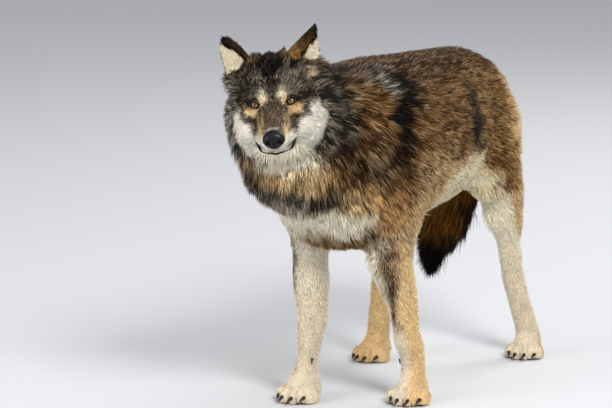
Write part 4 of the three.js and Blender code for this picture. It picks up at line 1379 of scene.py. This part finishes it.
def hair_want(points, normals, length):
    """How thickly locks stand: as the inverse of a lock's own area, times (length / 0.05)^0.35, and none on
    eyes, nose, lips and soles."""
    want = 1 / (length * half_width(length)) * (length / 0.05) ** 0.35
    places = on_head(points)
    for side in SIDES:
        outside, away = beyond_lids(places, side)
        want = np.where((outside < 1.3) & (away < 30), 0, want)
    nose = np.linalg.norm((places - NOSE_MIDDLE) / [22, 16, 18.5], axis=1)
    want = np.where(nose < 1.03, 0, want)
    lips = (np.abs(places[:, 2] - mouth_height(places[:, 1])) < 1.4) & (places[:, 1] < -30)
    want = np.where(lips & (np.abs(places[:, 0]) < 60), 0, want)
    return np.where((points[:, 2] < 0.003) & (normals[:, 2] < -0.5), 0, want)


def node_labels(points):
    """For each point, the number in FLESH of the node whose nearest triangle middle is closest."""
    middles = [corners_of(MESHES[name])[triangles_of(MESHES[name])].mean(1) for name in FLESH]
    labels = np.repeat(np.arange(len(FLESH)), [len(rows) for rows in middles])
    middles = np.vstack(middles).astype(np.float32)
    found, at_once = [], 4000
    for start in range(0, len(points), at_once):
        part = points[start : start + at_once].astype(np.float32)
        away = (middles**2).sum(1)[None] - 2 * part @ middles.T
        found.append(labels[away.argmin(1)])
    return np.concatenate(found)


def coat_plan():
    """The coat's pieces: name, which vertices they cover, share of all locks, record slot, unwrap, how much
    locks lean together, and the size of the cells in which they do."""
    points, ears = SKIN["points"], SKIN["ears"].astype(float)
    label = node_labels(points)
    is_node = {name: (label == i).astype(float) for i, name in enumerate(FLESH)}
    back, y = on_head(points)[:, 1], on_body(points)[:, 1]
    face = is_node["head"] * (back < 34) * (1 - ears)
    at_ears = is_node["ear_left"] + is_node["ear_right"]
    rest = (is_node["head"] * (back >= 34) + at_ears) * (1 - ears)
    neck, trunk = is_node["neck"] * (1 - ears), is_node["trunk"] * (1 - ears)
    head_axis = round_unwrap(BETWEEN_EYES, HEAD_AXES[:, 1], -HEAD_AXES[:, 2])
    spine = round_unwrap(HOME + np.array([0, 0, 0.55]), (0, 1, 0), (0, 0, -1))
    upright = {node: round_unwrap(middle(node), (0, 0, 1), (0, -1, 0)) for node in ("tail", *LEGS)}
    plan = [
        ("coat_face", face, 0.14, "coat_head", head_axis, 0.12, 0.006),
        ("coat_head", rest, 0.115, "coat_head", head_axis, 0.2, 0.009),
        ("coat_ears", ears, 0.035, "coat_ears", head_axis, 0.2, 0.006),
        ("coat_neck", neck, 0.14, "coat_neck", spine, 0.3, 0.014),
        ("coat_shoulders", trunk * (y < 200), 0.135, "coat_trunk", spine, 0.28, 0.012),
        ("coat_flanks", trunk * (y >= 200) * (y < 430), 0.125, "coat_trunk", spine, 0.28, 0.012),
        ("coat_hips", trunk * (y >= 430), 0.09, "coat_trunk", spine, 0.28, 0.012),
        ("coat_tail", is_node["tail"], 0.05, "coat_tail", upright["tail"], 0.45, 0.02),
    ]
    for leg, share in zip(LEGS, (0.048, 0.048, 0.044, 0.044)):
        plan.append((f"coat_{leg}", is_node[leg], share, "coat_legs", upright[leg], 0.15, 0.008))
    return plan


class WOLF_OT_coat(bpy.types.Operator):
    """The coat: locks of hair over the whole skin, in pieces by the part of the body"""

    bl_idname = "wolf.coat"
    bl_label = "Coat"

    def execute(self, context):
        """Makes each coat piece."""
        settings = context.scene.wolf
        total = settings.locks
        material = grained("Wolf coat", settings.hair_roughness, scale=1300, bump=0.0)
        for i, (name, member, share, slot, unwrap, clump, cell) in enumerate(coat_plan()):
            mesh = coat_mesh(name, member, int(total * share), 100 + i, unwrap, clump, cell)
            placed(name, mesh, material, slot)
        return {"FINISHED"}


class WOLF_OT_eyes(bpy.types.Operator):
    """Both eyeballs, with a raised cornea, and the dark rims of their lids"""

    bl_idname = "wolf.eyes"
    bl_label = "Eyes"

    def execute(self, context):
        """Makes eyeballs and lid rims."""
        wet = eye_material()
        rim = grained("Wolf lid rim", 0.6, (0.005, 0.004, 0.004), bump=0.1)
        for side in SIDES:
            placed(f"eyeball_{side}", eyeball(side), wet, "eye", f"eye_{side}")
            placed(f"lid_rim_{side}", lid_rim(side), rim, "nose")
        return {"FINISHED"}


def eyeball(side, rows=40, columns=48):
    """A ball of EYE_RADIUS round the eye's look, raised by 0.9 (1 - (r / 6.6)^2) over the iris. Its map holds
    the offset from the look's axis, as a share of the ball's width. Its back half is all white."""
    tilt = np.linspace(0.03, math.pi - 0.03, rows)[:, None]
    turn = turns(columns)[None]
    raised = 0.9 * np.clip(1 - (EYE_RADIUS * np.sin(tilt) / 6.6) ** 2, 0, 1) * (np.cos(tilt) > 0)
    radius = EYE_RADIUS - 0.25 + raised
    wide = radius * np.sin(tilt)
    local = np.stack([wide * np.cos(turn), wide * np.sin(turn), radius * np.cos(tilt) + 0 * turn], axis=-1)
    gaze = unit(np.array(GAZE))
    level_out = unit(np.cross(gaze, [0, 0, 1]))
    axes = np.stack([level_out, np.cross(level_out, gaze), gaze], axis=1)
    mesh = solid(f"eyeball_{side}", eye_middle(side) + local @ axes.T)
    places = (on_head(corners_of(mesh)) - eye_middle(side)) @ axes
    flat = places[:, :2] / (2 * EYE_RADIUS) + 0.5
    flat[places[:, 2] < 0] = (0.98, 0.5)
    add_map(mesh, "Gaze", flat[triangles_of(mesh).ravel()])
    return mesh


def lid_rim(side, count=72, sides=8):
    """A thin closed tube round the eye's opening, on a ball 0.75 larger than the eyeball. Its inner corner is
    drawn out."""
    turn = turns(count)
    across = np.cos(turn)
    upper, lower = lid_edges(across)
    rise = np.where(np.sin(turn) >= 0, upper, lower)
    wide = across * (EYE_HALF_WIDTH + 0.1) - 2.6 * np.clip(-across, 0, 1) ** 8
    flat = np.stack([wide, rise], 1)
    path = np.column_stack([flat, np.sqrt((EYE_RADIUS + 0.75) ** 2 - (flat**2).sum(1))])
    step, out = unit(np.roll(path, -1, 0) - np.roll(path, 1, 0)), unit(path)
    around = turns(sides)[None, :, None]
    circle = np.cross(step, out)[:, None] * np.cos(around) * 1.2 + out[:, None] * np.sin(around) * 0.8
    rings = eye_middle(side) + (path[:, None] + circle) @ eye_axes(side).T
    return solid(f"lid_rim_{side}", rings, looped=True)


class WOLF_OT_nose(bpy.types.Operator):
    """The nose pad with its nostrils and groove, the lips and the whiskers"""

    bl_idname = "wolf.nose"
    bl_label = "Nose, lips and whiskers"

    def execute(self, context):
        """Makes the nose pad, the lips and the whiskers."""
        placed("nose_pad", nose_pad(), nose_material(), "nose", "nose")
        bare = grained("Wolf lips", 0.5, (0.009, 0.006, 0.006), bump=0.3)
        placed("lips", lips(), bare, "nose")
        hair = grained("Wolf whiskers", 0.4, (0.05, 0.04, 0.035), bump=0.0)
        placed("whiskers", whiskers(), hair, "coat_head")
        return {"FINISHED"}


NOSE_HALF_WIDTH, NOSE_HALF_HEIGHT, NOSE_HALF_DEPTH = 22.6, 18.8, 15


def soft(values, power):
    """A power of the values' sizes, with their signs."""
    return np.sign(values) * np.abs(values) ** power


def nose_pad(rows=72, columns=120):
    """A rounded block: powers from 0.75 to 0.9 of the sines and cosines of the tilt from its front pole and
    of the turn round it, narrower below. Bell-shaped dents make the nostrils, their slits and the groove."""
    tilt = np.linspace(0.02, math.pi - 0.02, rows)[:, None]
    turn = turns(columns)[None]
    x = NOSE_HALF_WIDTH * soft(np.sin(tilt), 0.8) * soft(np.cos(turn), 0.9)
    z = NOSE_HALF_HEIGHT * soft(np.sin(tilt), 0.85) * soft(np.sin(turn), 0.9)
    y = -NOSE_HALF_DEPTH * soft(np.cos(tilt), 0.75) + 0 * turn
    below, above = (np.clip(s * z / NOSE_HALF_HEIGHT, 0, 1) for s in (-1, 1))
    x = x * (1 - 0.26 * below**2.2 - 0.16 * above**2)
    front = ramp(-y, -2, 6)
    wide = np.abs(x)
    hole = 8.5 * bell(wide - 11, 4.4) * bell(z + 4.5, 4.2)
    slit = 5.5 * bell(wide - 17, 4.5) * bell(z + 7 + 0.35 * (wide - 16), 1.9)
    groove = 2.6 * bell(x, 1.2) * ramp(-z, -4, 2)
    y = y + (hole + slit + groove) * front + 0.10 * z * front
    return solid("nose_pad", np.stack([x, y - 103.5, z - 48.5], axis=-1))


def on_skin(tree, places):
    """The nearest skin points to places in the head's frame, and their normals, in the head's frame."""
    hits = [tree.find_nearest(Vector(p)) for p in from_head(places)]
    spots = on_head(np.array([hit[0] for hit in hits]))
    return spots, np.array([hit[1] for hit in hits]) @ HEAD_AXES


def skin_tree():
    """The skin's triangles for nearest-point questions, in the model's frame."""
    return BVHTree.FromPolygons(SKIN["points"].tolist(), SKIN["triangles"].tolist())


def lips(count=90):
    """A dark seam along the mouth line, from corner to corner round the front of the muzzle, thicker towards
    the corners: rings carried along the skin, on the mean of seven neighbours."""
    turn = np.linspace(-1.5, 1.5, count)
    x = 50 * soft(np.sin(turn), 0.8)
    y = -26 - 76 * np.cos(turn) ** 0.7
    path, _ = on_skin(skin_tree(), np.stack([x, y, mouth_height(y)], 1))
    path[:, 2] = mouth_height(path[:, 1])
    even = np.ones(7) / 7
    path = np.stack([np.convolve(np.pad(line, 3, "edge"), even, "valid") for line in path.T], 1)
    thick = 1.2 * bell(turn, 0.5) + 2.3 * ramp(np.abs(turn), 0.85, 1.3)
    radii = (0.9 + thick) * ramp(1.52 - np.abs(turn), 0, 0.16) + 0.1
    return solid("lips", tube_rings(path, radii, 8, (0, 0, 1)))


def whiskers():
    """Tapered bent hairs, three rows of four on each side of the muzzle, 34 to 60 long."""
    rng = np.random.default_rng(77)
    tree = skin_tree()
    t = np.linspace(0, 1, 9)[:, None]
    tubes = []
    for s, row, column in itertools.product(SIDES.values(), range(3), range(4)):
        place = np.array([[s * (26 + 3 * column), -92 + 11 * column, -52 - 6 * row]], float)
        root, normal = on_skin(tree, place)
        way = unit(np.array([s * 0.9, 0.25 + 0.12 * column, -0.12 - 0.15 * row]))
        length = rng.uniform(34, 60)
        path = root + way * length * t + np.array([0, 0.30, -0.18]) * length * t**2
        tubes.append(tube_rings(path - normal * 1.0, 0.27 * (1 - 0.85 * t[:, 0]), 5, (0, 0, 1)))
    return solid("whiskers", *tubes)


class WOLF_OT_claws(bpy.types.Operator):
    """The claws: bent horns that taper from an oval foot to a blunt tip"""

    bl_idname = "wolf.claws"
    bl_label = "Claws"

    def execute(self, context):
        """Makes one claw for each claw node."""
        horn = grained("Wolf claw", 0.42, (0.022, 0.017, 0.014), scale=700, bump=0.25)
        for name in sorted(frame["nodes"]):
            if name.startswith("claw_"):
                placed(name.replace("claw", "horn"), claw(name), horn, "claw", name)
        return {"FINISHED"}


def claw(node):
    """A horn from inside the foot to the node's tip: its path is a parabola that bends down, and its radius
    falls as 1 - 0.93 t^1.6. A dewclaw is thinner, and 0.42 as long."""
    spots = corners_of(MESHES[node])
    share, radius, order = (0.42, 0.0028, spots[:, 2]) if node.endswith("_5") else (1, 0.0042, spots[:, 1])
    tip = spots[order.argmin()]
    foot = spots[order > order.max() - 0.25 * (order.max() - order.min())].mean(0)
    foot = foot + (foot - tip) * 0.35
    t = np.linspace(0, 1, 12)
    path = foot + (tip - foot) * share * t[:, None]
    path[:, 2] += 0.0016 * 4 * t * (1 - t)
    radii = radius * (1 - 0.93 * t**1.6)
    return solid(node, tube_rings(path, radii, 12, (1, 0, 0.01)), move=np.asarray)


# ---- Stage ----
CAMERA_PLACE = (3.0909, -6.4236, 1.506)
CAMERA_TURN = 27.0  # degrees round the vertical
CAMERA_DROP = 8.736  # degrees below level
CAMERA_LENS = 193.9  # millimetres, on a sensor 36 wide
LIGHTS = (  # name, place, size and power
    ("Key", (4.0, -3.6, 4.2), 2.0, 430),
    ("Fill", (-2.6, -5.0, 1.5), 3.0, 170),
    ("Back", (1.0, 4.5, 4.2), 3.0, 160),
)
LIT = Vector((0, 0, 0.45))  # where the lights point
SKY = {"Color": (0.93, 0.93, 0.94, 1), "Strength": 0.6}


class WOLF_OT_stage(bpy.types.Operator):
    """A plain pale floor, soft studio light and the camera"""

    bl_idname = "wolf.stage"
    bl_label = "Stage"

    def execute(self, context):
        """Makes floor, lights, world and camera."""
        scene = context.scene
        mesh = bpy.data.meshes.new("floor")
        mesh.from_pydata([(-30, -30, 0), (30, -30, 0), (30, 40, 0), (-30, 40, 0)], [], [(0, 1, 2, 3)])
        floor = linked("floor", mesh)
        material, _, shader = new_material("Floor")
        feed(shader, {"Base Color": (*scene.wolf.floor_colour, 1), "Roughness": 0.9})
        mesh.materials.append(material)
        for name, place, size, power in LIGHTS:
            light = bpy.data.lights.new(name, "AREA")
            light.size, light.energy = size, power
            lamp = linked(name, light)
            lamp.location = place
            lamp.rotation_euler = (LIT - Vector(place)).to_track_quat("-Z", "Y").to_euler()
        scene.world = bpy.data.worlds.new("Studio")
        scene.world.use_nodes = True
        feed(scene.world.node_tree.nodes["Background"], SKY)
        scene.view_settings.view_transform = "Standard"
        view = bpy.data.cameras.new("Camera")
        view.lens, view.sensor_width = CAMERA_LENS, 36
        scene.camera = linked("Camera", view)
        scene.camera.location = CAMERA_PLACE
        scene.camera.rotation_euler = (math.radians(90 - CAMERA_DROP), 0, math.radians(CAMERA_TURN))
        return {"FINISHED"}


class WOLF_PT_panel(bpy.types.Panel):
    """The wolf's pieces and settings"""

    bl_idname = "WOLF_PT_panel"
    bl_label = "Grey wolf"
    bl_space_type = "VIEW_3D"
    bl_region_type = "UI"
    bl_category = "Wolf"

    def draw(self, context):
        """Lists the settings and the operators."""
        for name in WolfSettings.__annotations__:
            self.layout.prop(context.scene.wolf, name)
        for operator in OPERATORS:
            self.layout.operator(operator.bl_idname)


OPERATORS = (WOLF_OT_stage, WOLF_OT_skin, WOLF_OT_coat, WOLF_OT_eyes, WOLF_OT_nose, WOLF_OT_claws)
CLASSES = (WolfSettings, *OPERATORS, WOLF_PT_panel)


def register():
    """Registers the classes and the settings."""
    for cls in CLASSES:
        bpy.utils.register_class(cls)
    bpy.types.Scene.wolf = bpy.props.PointerProperty(type=WolfSettings)


def unregister():
    """Takes the classes and the settings away again."""
    del bpy.types.Scene.wolf
    for cls in reversed(CLASSES):
        bpy.utils.unregister_class(cls)


def main():
    register()
    bpy.ops.wolf.stage()
    bpy.ops.wolf.skin()
    bpy.ops.wolf.coat()
    bpy.ops.wolf.eyes()
    bpy.ops.wolf.nose()
    bpy.ops.wolf.claws()


if __name__ == "__main__":
    main()
